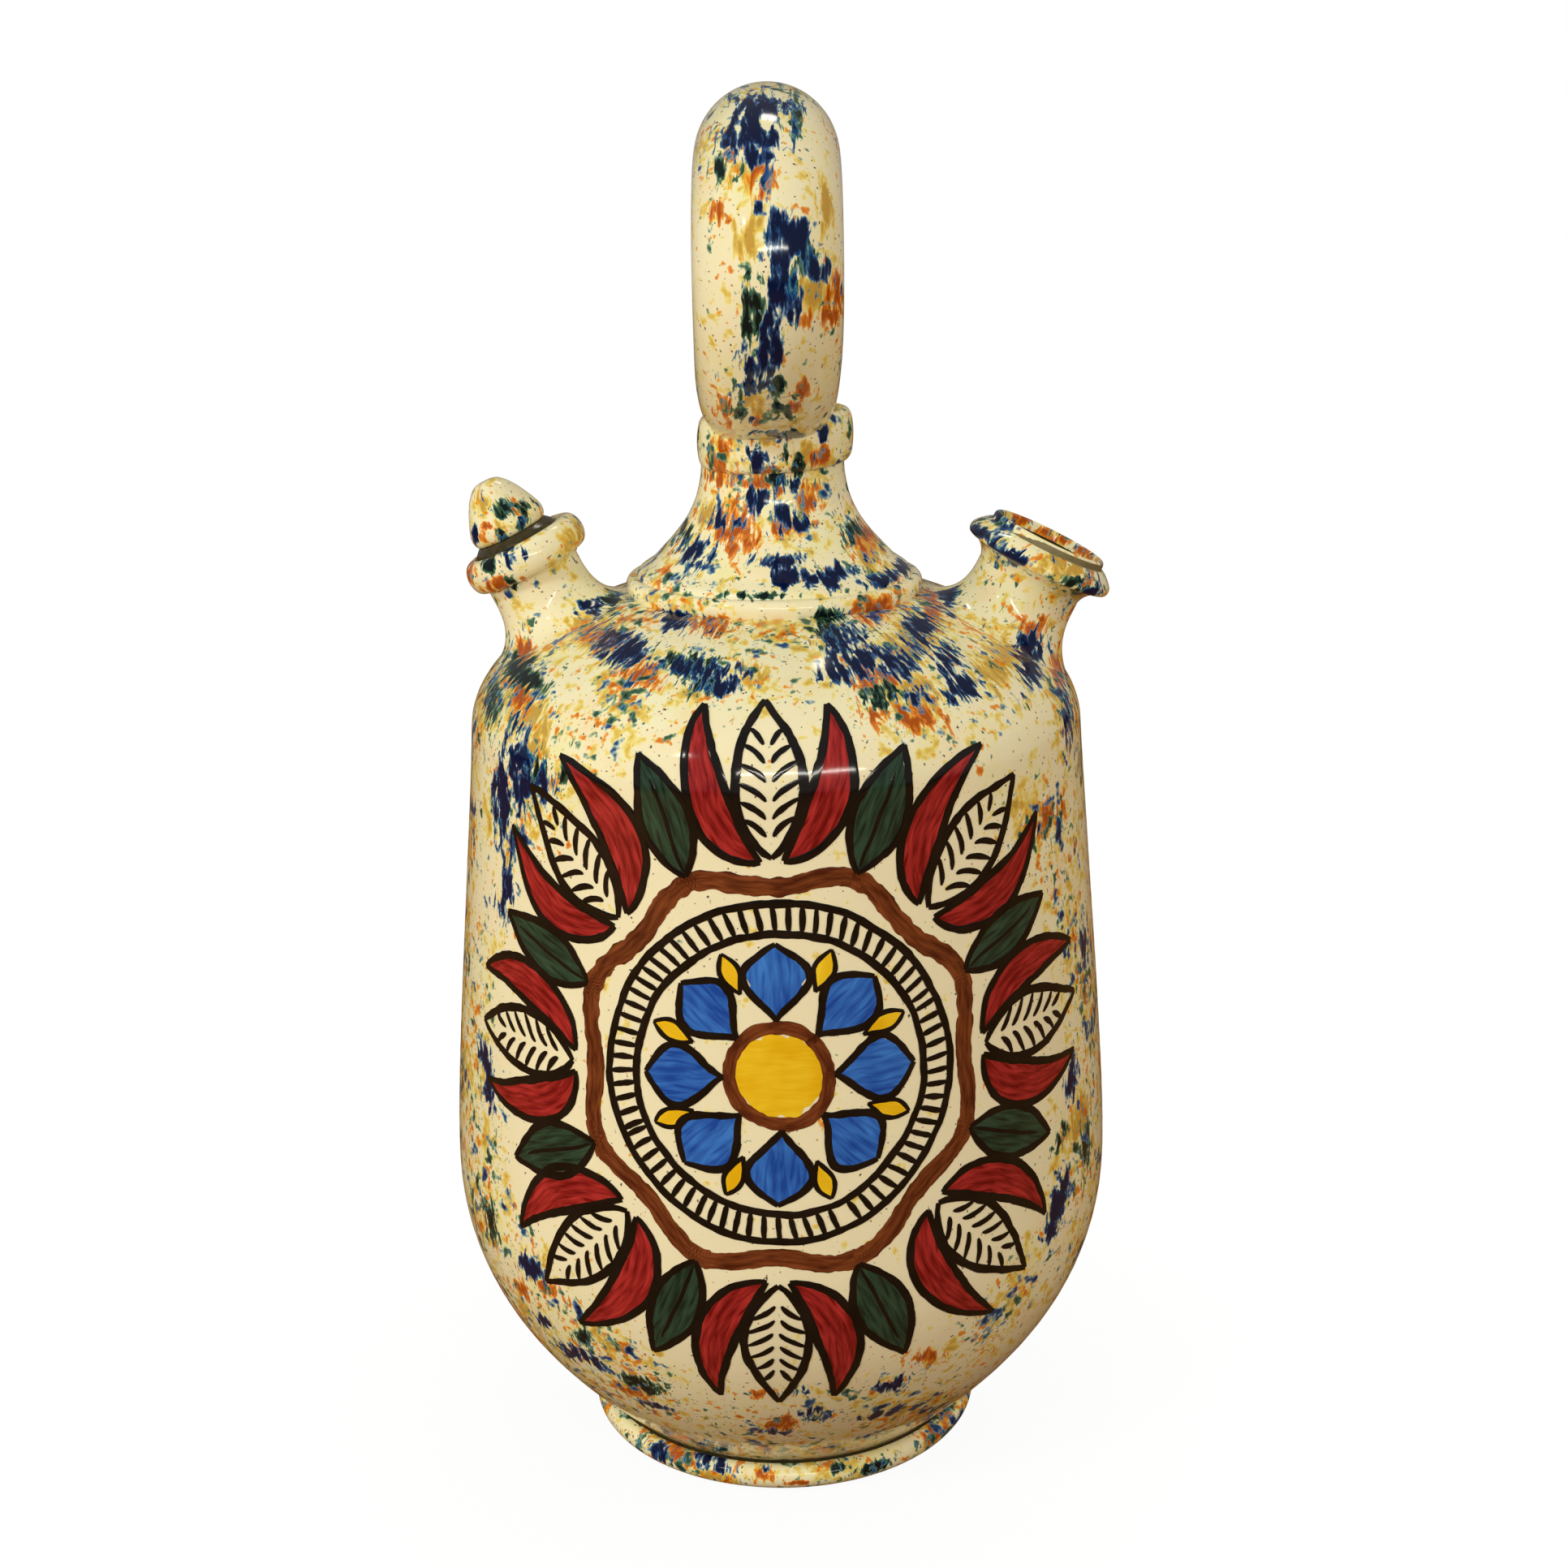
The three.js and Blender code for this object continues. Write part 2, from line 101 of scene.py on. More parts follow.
WALL = 6
BELLY, SEAM, CROWN = 90, 226, 262  # heights of the widest place, the joint and the top
BELLY_RADIUS, SEAM_RADIUS, NECK_HOLE, FLOOR = 99, 89, 33, 16.3
pot_line = np.vstack(
    [
        bend((55.5, 9), (72.5, 25.3), (BELLY_RADIUS, 50), (BELLY_RADIUS, BELLY)),
        bend((BELLY_RADIUS, BELLY), (BELLY_RADIUS, 122), (90.6, 196), (SEAM_RADIUS, SEAM), 36)[1:],
    ]
)
shoulder_line = bend((SEAM_RADIUS, SEAM), (87.1, 243), (68, 254), (43.5, CROWN))
skin_line = np.vstack([pot_line, shoulder_line[1:]])
lining = [p for p in inset(skin_line, WALL) if 19 < p[1] < CROWN - WALL]
outlines = {
    "body": [
        (0, 9.3),
        *skin_line,
        (NECK_HOLE, CROWN),
        (NECK_HOLE, CROWN - WALL),
        *lining[::-1],
        (53, FLOOR),
        (0, FLOOR),
    ],
    "foot": [
        (48.4, 0),
        (53.5, 0),
        *bend((53.5, 0), (61, 0), (61.5, 7), (57.5, 8.1), 16)[1:],
        *bend((57.5, 8.1), (56.8, 8.3), (55.8, 8.1), (54.8, 8.3), 5)[1:],
        (54.2, 10),
        (46.4, 10),
        (46.4, 2),
        (48.4, 0),
    ],
    "neck": [
        (33, 260.5),
        (41.2, 260.5),
        *bend((41.2, 260.8), (43.4, 262.2), (43.6, 266.4), (40.9, 267), 14),
        *bend((40.9, 267), (40.2, 267.1), (39.7, 266.8), (39.5, 267.2), 5)[1:],
        *bend((39.5, 267.2), (39.9, 268.6), (38, 269.2), (35, 271.4), 10)[1:],
        *bend((35, 271.4), (28, 279), (20.6, 285), (20.4, 300), 24)[1:],
        (15, 300),
        (16, 292),
        (33, 266),
        (33, 260.5),
    ],
    "collar": [
        (14, 299),
        (19.6, 299),
        *bend((19.6, 298.6), (21.9, 298.8), (22.3, 302), (22.3, 306), 12),
        *bend((22.3, 306), (22.3, 309.5), (22, 313.4), (19.4, 313.4), 12)[1:],
        (16, 309),
        (14, 299),
    ],
}
for name, outline in outlines.items():
    print(name, len(outline), "points")

# %% [markdown]
# ## Turning the clay with Geometry Nodes
# A flat grid is bent round the axis: its columns sample the outline from end to end and its rows
# are the turn of the wheel. A slow noise pushes the wall in and out by a fraction of a millimetre,
# as a hand does, and fine rings are left by the fingers. Before the grid is bent, each point keeps
# the vector `flow`, a place round the girth and a length along the wall, for brush marks to follow.


# %% Turned clay
def group(name, inputs, outputs):
    """An empty Geometry Nodes tree with named sockets, and its group input."""
    tree = bpy.data.node_groups.new(name, "GeometryNodeTree")
    for way, sockets in (("INPUT", inputs), ("OUTPUT", outputs)):
        for label, kind in sockets:
            tree.interface.new_socket(label, in_out=way, socket_type="NodeSocket" + kind)
    return tree, add(tree, "NodeGroupInput").outputs


def hand_tree():
    """A place on true clay, moved to where a hand leaves it."""
    tree, given = group(
        "Thrower's hand", [("Place", "Vector"), ("Uneven", "Float")], [("Place", "Vector")]
    )
    slow = add(tree, "ShaderNodeTexNoise", {"Vector": given["Place"], "Scale": 13, "Detail": 1})
    height = add(tree, "ShaderNodeSeparateXYZ", [given["Place"]]).outputs["Z"]
    # Finger rings lie 6.5 mm apart, and the slow noise makes them wander.
    sway = add(tree, "ShaderNodeMath", [slow, 14], operation="MULTIPLY")
    phase = add(tree, "ShaderNodeMath", [height, math.tau / (6.5 * MM), sway], operation="MULTIPLY_ADD")
    wave = add(tree, "ShaderNodeMath", [phase], operation="SINE")
    rings = add(tree, "ShaderNodeMath", [wave, 0.05], operation="MULTIPLY")
    push = add(tree, "ShaderNodeMath", [slow, 2, -1], operation="MULTIPLY_ADD")
    both = add(tree, "ShaderNodeMath", [push, rings], operation="ADD")
    amount = add(tree, "ShaderNodeMath", [both, given["Uneven"]], operation="MULTIPLY")
    level = add(tree, "ShaderNodeVectorMath", [given["Place"], (1, 1, 0)], operation="MULTIPLY")
    outward = add(tree, "ShaderNodeVectorMath", [level], operation="NORMALIZE")
    shift = add(tree, "ShaderNodeVectorMath", {0: outward, "Scale": amount.outputs[0]}, operation="SCALE")
    moved = add(tree, "ShaderNodeVectorMath", [given["Place"], shift], operation="ADD")
    add(tree, "NodeGroupOutput", [moved])
    return tree


def turned_tree(hand):
    """A grid bent round the axis, by an outline of radii and heights."""
    sockets = [("Outline", "Geometry"), ("Sides", "Int"), ("Rings", "Int"), ("Girth", "Float")]
    tree, given = group(
        "Turned clay", sockets + [("Uneven", "Float"), ("Glaze", "Material")], [("Clay", "Geometry")]
    )
    size = {"Size X": 1, "Size Y": 1, "Vertices X": given["Rings"], "Vertices Y": given["Sides"]}
    grid = add(tree, "GeometryNodeMeshGrid", size)
    cell = add(tree, "ShaderNodeSeparateXYZ", [add(tree, "GeometryNodeInputPosition")]).outputs
    along = add(tree, "ShaderNodeMath", [cell["X"], 0.5], operation="ADD")
    turn = add(tree, "ShaderNodeMath", [cell["Y"], math.tau], operation="MULTIPLY")
    wall = add(tree, "GeometryNodeMeshToCurve", [given["Outline"]])
    spot = add(tree, "GeometryNodeSampleCurve", {"Curves": wall, "Factor": along})
    at = add(tree, "ShaderNodeSeparateXYZ", [spot.outputs["Position"]]).outputs
    sine = add(tree, "ShaderNodeMath", [turn], operation="SINE")
    cosine = add(tree, "ShaderNodeMath", [turn], operation="COSINE")
    front = add(tree, "ShaderNodeMath", [cosine, -1], operation="MULTIPLY")
    whole = add(tree, "GeometryNodeCurveLength", [wall])
    length = add(tree, "ShaderNodeMath", [along, whole], operation="MULTIPLY")
    circle = add(tree, "ShaderNodeCombineXYZ", [sine, front])
    girth = add(tree, "ShaderNodeVectorMath", {0: circle, "Scale": given["Girth"]}, operation="SCALE")
    climbed = add(tree, "ShaderNodeCombineXYZ", {"Z": length})
    flow = add(tree, "ShaderNodeVectorMath", [girth, climbed], operation="ADD")
    kept = add(
        tree,
        "GeometryNodeStoreNamedAttribute",
        {"Geometry": grid, "Name": "flow", "Value": flow},
        data_type="FLOAT_VECTOR",
        domain="POINT",
    )
    radial = add(tree, "ShaderNodeVectorMath", {0: circle, "Scale": at["X"]}, operation="SCALE")
    raised = add(tree, "ShaderNodeCombineXYZ", {"Z": at["Z"]})
    place = add(tree, "ShaderNodeVectorMath", [radial, raised], operation="ADD")
    thrown = add(tree, "GeometryNodeGroup", {"Place": place, "Uneven": given["Uneven"]}, node_tree=hand)
    bent = add(tree, "GeometryNodeSetPosition", {"Geometry": kept, "Position": thrown})
    joined = add(tree, "GeometryNodeMergeByDistance", {"Geometry": bent, "Distance": 1e-6})
    smooth = add(tree, "GeometryNodeSetShadeSmooth", [joined])
    real = add(tree, "GeometryNodeRealizeInstances", [smooth])
    glazed = add(tree, "GeometryNodeSetMaterial", {"Geometry": real, "Material": given["Glaze"]})
    add(tree, "NodeGroupOutput", [glazed])
    return tree


HAND = hand_tree()
TURNED = turned_tree(HAND)


def faced_out(mesh):
    """Turns a closed mesh's faces outwards, and keeps true corners crisp."""
    corners = np.zeros(len(mesh.vertices) * 3)
    mesh.vertices.foreach_get("co", corners)
    mesh.calc_loop_triangles()
    a, b, c = corners.reshape(-1, 3)[[list(t.vertices) for t in mesh.loop_triangles]].transpose(1, 0, 2)
    if np.einsum("ij,ij->", a, np.cross(b, c)) < 0:
        mesh.flip_normals()
    mesh.set_sharp_from_angle(angle=math.radians(55))


def settled(piece, tree, values):
    """Gives a piece a node tree with these inputs and keeps what it makes as a plain mesh."""
    live = piece.modifiers.new(tree.name, "NODES")
    live.node_group = tree
    for label, value in values.items():
        live[tree.interface.items_tree[label].identifier] = value
    graph = bpy.context.evaluated_depsgraph_get()
    mesh = bpy.data.meshes.new_from_object(piece.evaluated_get(graph))
    piece.modifiers.clear()
    sketch, piece.data = piece.data, mesh
    bpy.data.meshes.remove(sketch)
    faced_out(mesh)


def placed(name, data):
    """A new object in the scene, for a mesh, a lamp or a camera."""
    piece = bpy.data.objects.new(name, data)
    bpy.context.scene.collection.objects.link(piece)
    return piece


def drawn(name, points):
    """An object whose mesh is only lines through points given in millimetres."""
    mesh = bpy.data.meshes.new(name)
    lines = [(i, i + 1) for i in range(len(points) - 1)]
    mesh.from_pydata([Vector(p) * MM for p in points], lines, [])
    return placed(name, mesh)


UNEVEN = 0.35  # how far from true a hand leaves the wall, in millimetres
pieces = {}


def turned(name, outline, girth, rings, sides=193, uneven=UNEVEN, place=None, finish=None):
    """Adds a closed turned piece, from an outline of radii and heights."""
    piece = drawn(name, [(r, 0, z) for r, z in outline])
    values = {"Sides": sides, "Rings": rings, "Girth": girth * MM, "Uneven": uneven * MM}
    values["Glaze"] = finish or GLAZE
    settled(piece, TURNED, values)
    if place:
        piece.data.transform(place)
    pieces[name] = piece
    print(name, len(piece.data.vertices), "points")


# %% [markdown]
# ## The glaze
# A cream tin glaze is glossy and a little uneven. Into it the potter flicks brushes loaded with
# cobalt, copper, iron and ochre: each leaves ragged dabs of parallel hair marks, and drops that fall
# in gusts. Under them lies a dust of fine specks. A painted image could hold all that, but noise has
# no seam and no grain of pixels. Dabs come from noise stretched along `flow` and let through where the
# attribute `dabs` is high; drops and specks are the peaks of finer noise, let through by `flecks`.

# %% Spatter glaze
# For each ink: the size of its drops in millimetres and how freely they fall, then, from its thin
# edge to its heavy middle, how loaded it is, its colours and its cover.
INKS = {
    "ochre": (
        (3.6, 0.02),
        (0.53, 0.57, 0.65, 0.8),
        "#F3E998 #ECD658 #E0BC28 #BE9010",
        (0, 0.55, 0.8, 0.9),
    ),
    "iron": (
        (3.0, -0.025),
        (0.575, 0.6, 0.66, 0.82),
        "#F2CC60 #ECA62C #E07E08 #A84A02",
        (0, 0.78, 0.94, 0.98),
    ),
    "copper": (
        (3.6, -0.05),
        (0.56, 0.595, 0.64, 0.78),
        "#C4D09C #62967C #1E5E4C #031616",
        (0, 0.72, 0.95, 1),
    ),
    "cobalt": (
        (4.2, -0.055),
        (0.564, 0.604, 0.652, 0.755),
        "#B4D2C8 #5090A8 #0A4A86 #021238",
        (0, 0.72, 0.97, 1),
    ),
}
HAIRS = (390, 390, 160)  # to the metre: hair marks are about 2.5 mm wide and 6 mm long


def new_finish(name):
    """A new material, its node tree and its shader."""
    material = bpy.data.materials.new(name)
    material.use_nodes = True
    tree = material.node_tree
    return material, tree, tree.nodes["Principled BSDF"]


def glaze_material():
    """Glossy tin glaze over clay, with flicked colour melted into it."""
    material, tree, shader = new_finish("spattered tin glaze")
    place = add(tree, "ShaderNodeTexCoord").outputs["Object"]
    flow = add(tree, "ShaderNodeAttribute", attribute_name="flow").outputs["Vector"]
    rain = add(tree, "ShaderNodeAttribute", attribute_name="flecks").outputs["Fac"]
    dabs = add(tree, "ShaderNodeAttribute", attribute_name="dabs")
    parts = add(tree, "ShaderNodeSeparateColor", [dabs.outputs["Color"]]).outputs
    weights = {"cobalt": parts["Red"], "iron": parts["Green"], "copper": parts["Blue"]}
    weights["ochre"] = dabs.outputs["Alpha"]

    # The cream is paler where the front was kept clean for painting, and mottled elsewhere.
    cloud = add(tree, "ShaderNodeTexNoise", {"Vector": place, "Scale": 1 / (40 * MM), "Detail": 2})
    used = add(tree, "ShaderNodeMath", [rain, cloud], operation="MULTIPLY")
    warm = add(tree, "ShaderNodeMapRange", {"Value": used, "From Min": 0.05, "From Max": 0.5})
    cream = {"Factor": warm, 6: linear("#F0E6C2"), 7: linear("#F0EAC4")}
    colour = add(tree, "ShaderNodeMix", cream, data_type="RGBA").outputs[2]
    for seed, code in enumerate(("#EBE59E", "#F0DAB0")):
        spread = add(tree, "ShaderNodeMapping", {"Vector": place, "Location": (seed * 2, 4, 0)})
        wash = add(tree, "ShaderNodeTexNoise", {"Vector": spread, "Scale": 1 / (12 * MM), "Detail": 2})
        limits = {"Value": wash, "From Min": 0.48, "From Max": 0.68, "To Max": 0.7}
        part = add(tree, "ShaderNodeMapRange", limits)
        share = add(tree, "ShaderNodeMath", [part, warm], operation="MULTIPLY")
        over = {"Factor": share, 6: colour, 7: linear(code)}
        colour = add(tree, "ShaderNodeMix", over, data_type="RGBA").outputs[2]

    # Where the rain is thin, only the highest peaks of a noise show.
    thin = add(tree, "ShaderNodeMath", [rain, 0.17, -0.17], operation="MULTIPLY_ADD")
    # Specks under a millimetre, about one in a square centimetre where the rain is thin.
    for seed, code in enumerate(("#2B241E", "#A85A22", "#2E4034")):
        spread = add(tree, "ShaderNodeMapping", {"Vector": place, "Location": (seed * 7, 2, 0)})
        dust = add(tree, "ShaderNodeTexNoise", {"Vector": spread, "Scale": 1 / (1.1 * MM), "Detail": 0})
        load = add(tree, "ShaderNodeMath", [thin, 0.3, dust], operation="MULTIPLY_ADD")
        limits = {"Value": load, "From Min": 0.775, "From Max": 0.8, "To Max": 0.9}
        mask = add(tree, "ShaderNodeMapRange", limits)
        over = {"Factor": mask, 6: colour, 7: linear(code)}
        colour = add(tree, "ShaderNodeMix", over, data_type="RGBA").outputs[2]

    for seed, (ink, ((size, plenty), loads, codes, covers)) in enumerate(INKS.items()):
        grain = {"Vector": flow, "Location": (seed * 9, 0, seed * 5), "Scale": HAIRS}
        drawn_out = add(tree, "ShaderNodeMapping", grain)
        marks = {"Vector": drawn_out, "Scale": 1, "Detail": 3, "Roughness": 0.62, "Distortion": 0.5}
        hairs = add(tree, "ShaderNodeTexNoise", marks)
        ragged = add(tree, "ShaderNodeMath", [hairs, 1.6, -0.6], operation="MULTIPLY_ADD")
        load = add(tree, "ShaderNodeMath", [weights[ink], 0.46, ragged], operation="MULTIPLY_ADD")
        # Drops fall in gusts of one colour, about a centimetre across.
        shift = add(tree, "ShaderNodeMapping", {"Vector": place, "Location": (seed * 3, seed, 0)})
        gust = add(tree, "ShaderNodeTexNoise", {"Vector": shift, "Scale": 1 / (11 * MM), "Detail": 1})
        blots = add(tree, "ShaderNodeTexNoise", {"Vector": shift, "Scale": 1 / (size * MM), "Detail": 2})
        often = add(tree, "ShaderNodeMath", [gust, 0.5, plenty - 0.25], operation="MULTIPLY_ADD")
        more = add(tree, "ShaderNodeMath", [often, thin], operation="ADD")
        drops = add(tree, "ShaderNodeMath", [blots, more], operation="ADD")
        most = add(tree, "ShaderNodeMath", [load, drops], operation="MAXIMUM")
        ramp = add(tree, "ShaderNodeValToRGB", [most])
        for _ in loads[2:]:
            ramp.color_ramp.elements.new(1)
        for stop, at, code, cover in zip(ramp.color_ramp.elements, loads, codes.split(), covers):
            stop.position = at
            stop.color = linear(code)[:3] + [cover]
        over = {"Factor": ramp.outputs["Alpha"], 6: colour, 7: ramp.outputs["Color"]}
        colour = add(tree, "ShaderNodeMix", over, data_type="RGBA").outputs[2]
    tree.links.new(colour, shader.inputs["Base Color"])

    # A fired glaze ripples a little, over about a centimetre.
    skin = add(tree, "ShaderNodeTexNoise", {"Vector": place, "Scale": 1 / (9 * MM), "Detail": 2})
    ripple = add(tree, "ShaderNodeBump", {"Height": skin, "Strength": 0.12, "Distance": 0.4 * MM})
    tree.links.new(ripple.outputs[0], shader.inputs["Normal"])
    shader.inputs["Roughness"].default_value = 0.1
    shader.inputs["IOR"].default_value = 1.46
    return material


def clay_material(name, dark, light, rough):
    """Clay with little or no glaze, as where a stopper sits; its dark kinds also stand in for painted shade.
    """
    material, tree, shader = new_finish(name)
    place = add(tree, "ShaderNodeTexCoord").outputs["Object"]
    grain = add(tree, "ShaderNodeTexNoise", {"Vector": place, "Scale": 1 / (2 * MM), "Detail": 3})
    shade = add(tree, "ShaderNodeMix", {"Factor": grain, 6: linear(dark), 7: linear(light)}, data_type="RGBA")
    tree.links.new(shade.outputs[2], shader.inputs["Base Color"])
    shader.inputs["Roughness"].default_value = rough
    return material


GLAZE = glaze_material()
# Dull and olive grey: partly bare clay where the glaze was wiped off before firing, partly painted shade.
BARE_AND_SHADED = clay_material("wiped clay", "#6A6244", "#857B58", 0.45)
# Dark and still shiny: partly thin glaze browned by the clay under it, partly painted shade in hollows and
# creases.
DARK_GLAZE_AND_SHADE = clay_material("dark glaze and painted shade", "#1E1A10", "#4C4428", 0.2)
print("finishes:", [finish.name for finish in (GLAZE, BARE_AND_SHADED, DARK_GLAZE_AND_SHADE)])

# %% [markdown]
# ## The body, foot, neck and collar
# These stand on the jug's own axis, so their outlines are turned where they are.

# %% Members on the axis
turned("jug_body", outlines["body"], girth=90, rings=380, sides=257)
turned("foot_ring_glazed", outlines["foot"], girth=58, rings=90)
turned("neck_trumpet", outlines["neck"], girth=32, rings=150, sides=161)
turned("collar_coil", outlines["collar"], girth=21, rings=90, sides=129, uneven=0.6)

# In the groove between foot and body the glaze is thin and brown, and painted shade darkens the crease.
GROOVE_IN, GROOVE_OUT, GROOVE_LOW = 54.8, 56.1, 7.8
foot = pieces["foot_ring_glazed"].data
foot.materials.append(DARK_GLAZE_AND_SHADE)
for face in foot.polygons:
    reach = math.hypot(face.center.x, face.center.y) / MM
    if GROOVE_IN < reach < GROOVE_OUT and face.center.z > GROOVE_LOW * MM:
        face.material_index = len(foot.materials) - 1

# The coil was pressed on by hand: it leans to the stoppered side and stands off more on the other,
# and in front it bulges.
COIL_LEAN, COIL_ASIDE, COIL_BULGE = 0.05, 0.8, 1.06
for point in pieces["collar_coil"].data.vertices:
    point.co.z += COIL_LEAN * point.co.x
    point.co.x += COIL_ASIDE * MM
    point.co.y *= COIL_BULGE if point.co.y < 0 else 1

# %% [markdown]
# ## The ring handle
# A hollow ring of clay, thicker outside than on the side that faces the hand. Towards its foot
# its section grows squarer, because the potter smeared the joint over the collar, and the whole
# ring sits a little to the stoppered side.


# %% Ring handle
def skinned(name, rows, flow):
    """Adds a closed skin over rows of points in metres: rows and points both go round."""
    rows = np.array(rows)
    n, m = rows.shape[:2]
    faces = [
        (i * m + k, i * m + (k + 1) % m, (i + 1) % n * m + (k + 1) % m, (i + 1) % n * m + k)
        for i in range(n)
        for k in range(m)
    ]
    mesh = bpy.data.meshes.new(name)
    mesh.from_pydata(rows.reshape(-1, 3), [], faces)
    mesh.shade_smooth()
    faced_out(mesh)
    mesh.materials.append(GLAZE)
    field = mesh.attributes.new("flow", "FLOAT_VECTOR", "POINT")
    field.data.foreach_set("vector", np.array(flow, float).ravel())
    pieces[name] = placed(name, mesh)
    print(name, n * m, "points")


RING_HALF, RING_PALM, RING_MIDDLE = 20.1, 11.0, 353.8
RING_Y, RING_Z = 39.1, 29.1  # half axes of the tube's centre line
RING_ASIDE, FOOT_ASIDE = 0.5, 0.7  # towards the stopper, and more so at the foot
FOOT_SQUARE = 0.6
FLOW_RADIUS, FLOW_RUN = 0.018, 0.035  # metres, and metres to the radian, for marks on a tube


def ring_handle():
    """A tube of two half sections, round outside and flatter to the palm, led round an oval."""
    rows, flow = [], []
    for turn in np.linspace(0, math.tau, 240, endpoint=False):
        spot = np.array([RING_Y * math.sin(turn), -RING_Z * math.cos(turn)])
        out = np.array([RING_Z * math.sin(turn), -RING_Y * math.cos(turn)])
        out /= np.linalg.norm(out)
        foot = max(0, math.cos(turn)) ** 3
        row = []
        for angle in np.linspace(0, math.tau, 96, endpoint=False):
            thick = RING_PALM if math.sin(angle) < 0 else RING_HALF
            wide = math.copysign(abs(math.cos(angle)) ** (1 - FOOT_SQUARE * foot), math.cos(angle))
            x = RING_HALF * wide - RING_ASIDE - FOOT_ASIDE * foot
            y, z = spot + out * thick * math.sin(angle)
            row.append((x * MM, y * MM, (RING_MIDDLE + z) * MM))
            flow.append((FLOW_RADIUS * math.cos(angle), FLOW_RADIUS * math.sin(angle), FLOW_RUN * turn))
        rows.append(row)
    skinned("ring_handle_glazed", rows, flow)


ring_handle()

# %% [markdown]
# ## The spouts
# Each spout is a short tube, leaned outwards and luted on the shoulder. Its foot follows the
# shoulder all round: for each direction the tube's wall is dropped onto the body's outline, and a
# fillet is swept out to where it lands.

# %% Spouts
TILT = math.radians(26)
FILL = Matrix.Translation((67.8 * MM, 0, 251.66 * MM)) @ Matrix.Rotation(TILT, 4, "Y")
POUR = Matrix.Translation((-63.2 * MM, 0, 254.18 * MM)) @ Matrix.Rotation(-TILT, 4, "Y")


def spout_point(place, radius, angle, height):
    """A point beside a spout's axis in metres, from millimetres away from it and along it."""
    return place @ (Vector((radius * math.cos(angle), radius * math.sin(angle), height)) * MM)


def landing(place, radius, angle):
    """Height along the spout, in millimetres, at which a line beside its axis meets the body."""
    low, high = -80.0, 40.0
    for _ in range(40):
        middle = (low + high) / 2
        point = spout_point(place, radius, angle, middle) / MM
        wall = np.interp(point.z, skin_line[:, 1], skin_line[:, 0], right=0)
        low, high = (middle, high) if math.hypot(point.x, point.y) < wall else (low, middle)
    return high


def spout_neck(name, place, radius, bore, length, fillet):
    """A tube whose foot sweeps out onto the shoulder, with its bore."""
    rows, flow = [], []
    for angle in np.linspace(0, math.tau, 96, endpoint=False):
        root = landing(place, radius, angle)
        edge = radius + fillet
        rim = landing(place, edge, angle)
        t = np.linspace(0, 1, 19)[:, None]
        top = min(root + fillet * 1.15, length - 1)
        leave, bow, land = np.array([(radius, top), (radius, root), (edge, rim)])
        sweep = (1 - t) ** 2 * leave + 2 * t * (1 - t) * bow + t**2 * land
        tube = [(radius, h) for h in np.linspace(length + 0.5, top, 12)[:-1]]
        under = [(edge - 0.5, rim - 1.5), (radius, root - 2.5), (bore, root - 5), (bore, length + 0.5)]
        section = np.vstack([tube, sweep, under])
        rows.append([spout_point(place, r, angle, h) for r, h in section])
        run = np.r_[0, np.cumsum(np.linalg.norm(np.diff(section, axis=0), axis=1))]
        flow += [(FLOW_RADIUS * math.cos(angle), FLOW_RADIUS * math.sin(angle), v * MM) for v in run]
    skinned(name, rows, flow)


spout_neck("filling_neck_glazed", FILL, radius=15.7, bore=11.3, length=13.2, fillet=11)
spout_neck("pouring_neck_glazed", POUR, radius=13.9, bore=9.3, length=15.4, fillet=11)

fill_rim = [
    (11.3, 12.6),
    (15.2, 12.6),
    *bend((15.6, 13.0), (15.9, 16.4), (18.6, 18.6), (21.4, 18.9), 14),
    *bend((21.4, 18.9), (22.6, 19.2), (22.5, 21.4), (21.6, 22.2), 8)[1:],
    *bend((21.6, 22.2), (20.4, 23.6), (18.8, 25), (17.6, 25.3), 8)[1:],
    *bend((17.5, 25.4), (17.5, 26.2), (17.4, 27), (17.2, 27.2), 6),
    *bend((17.2, 27.2), (16.6, 27.9), (15.8, 27.7), (15.6, 27), 6)[1:],
    (15.3, 24.6),
    (15.5, 24),
    *bend((14.2, 24.1), (13.2, 23.8), (12, 19), (11.3, 14.7), 12),
    (11.3, 12.6),
]
pour_rim = [
    (9.3, 14.8),
    (13.4, 14.8),
    *bend((13.8, 15.2), (14, 16.2), (15.2, 16), (16.2, 16.4), 6),
    *bend((16.2, 16.4), (19.1, 17.2), (19.2, 23.8), (16.4, 25.4), 16)[1:],
    *bend((16.4, 25.4), (15.3, 26), (13.7, 26.1), (13.1, 25.5), 8)[1:],
    (13, 24.4),
    (9.3, 24.4),
    (9.3, 14.8),
]
turned("filling_rim_glazed", fill_rim, girth=18, rings=180, sides=129, uneven=0.4, place=FILL)

# The outside of the raised lip is olive grey, less and less towards the handle: bare clay, with painted
# shade.
# Inside the lip a thin dark brown line is painted shade in its crease, where the glaze also drew back.
BARE_SHADED_LOW, BARE_SHADED_TALL, BARE_SHADED_RADIUS = 25.2, 1.9, 16.9
BARE_SHADED_FROM, BARE_SHADED_FADE = -13.5, 10
LINE_LOW, LINE_TOP, LINE_IN, LINE_OUT = 23.8, 24.6, 14.4, 15.7
lip = pieces["filling_rim_glazed"].data
bare_shaded = len(lip.materials)
lip.materials.append(BARE_AND_SHADED)
lip.materials.append(DARK_GLAZE_AND_SHADE)
for face in lip.polygons:
    spot = FILL.inverted() @ face.center / MM
    taper = min((spot.x - BARE_SHADED_FROM) / BARE_SHADED_FADE, 1)
    reach = math.hypot(spot.x, spot.y)
    if BARE_SHADED_LOW < spot.z < BARE_SHADED_LOW + BARE_SHADED_TALL * taper and reach > BARE_SHADED_RADIUS:
        face.material_index = bare_shaded
    elif LINE_LOW < spot.z < LINE_TOP and LINE_IN < reach < LINE_OUT:
        face.material_index = bare_shaded + 1
turned("pouring_rim_glazed", pour_rim, girth=16, rings=110, sides=129, uneven=0.4, place=POUR)

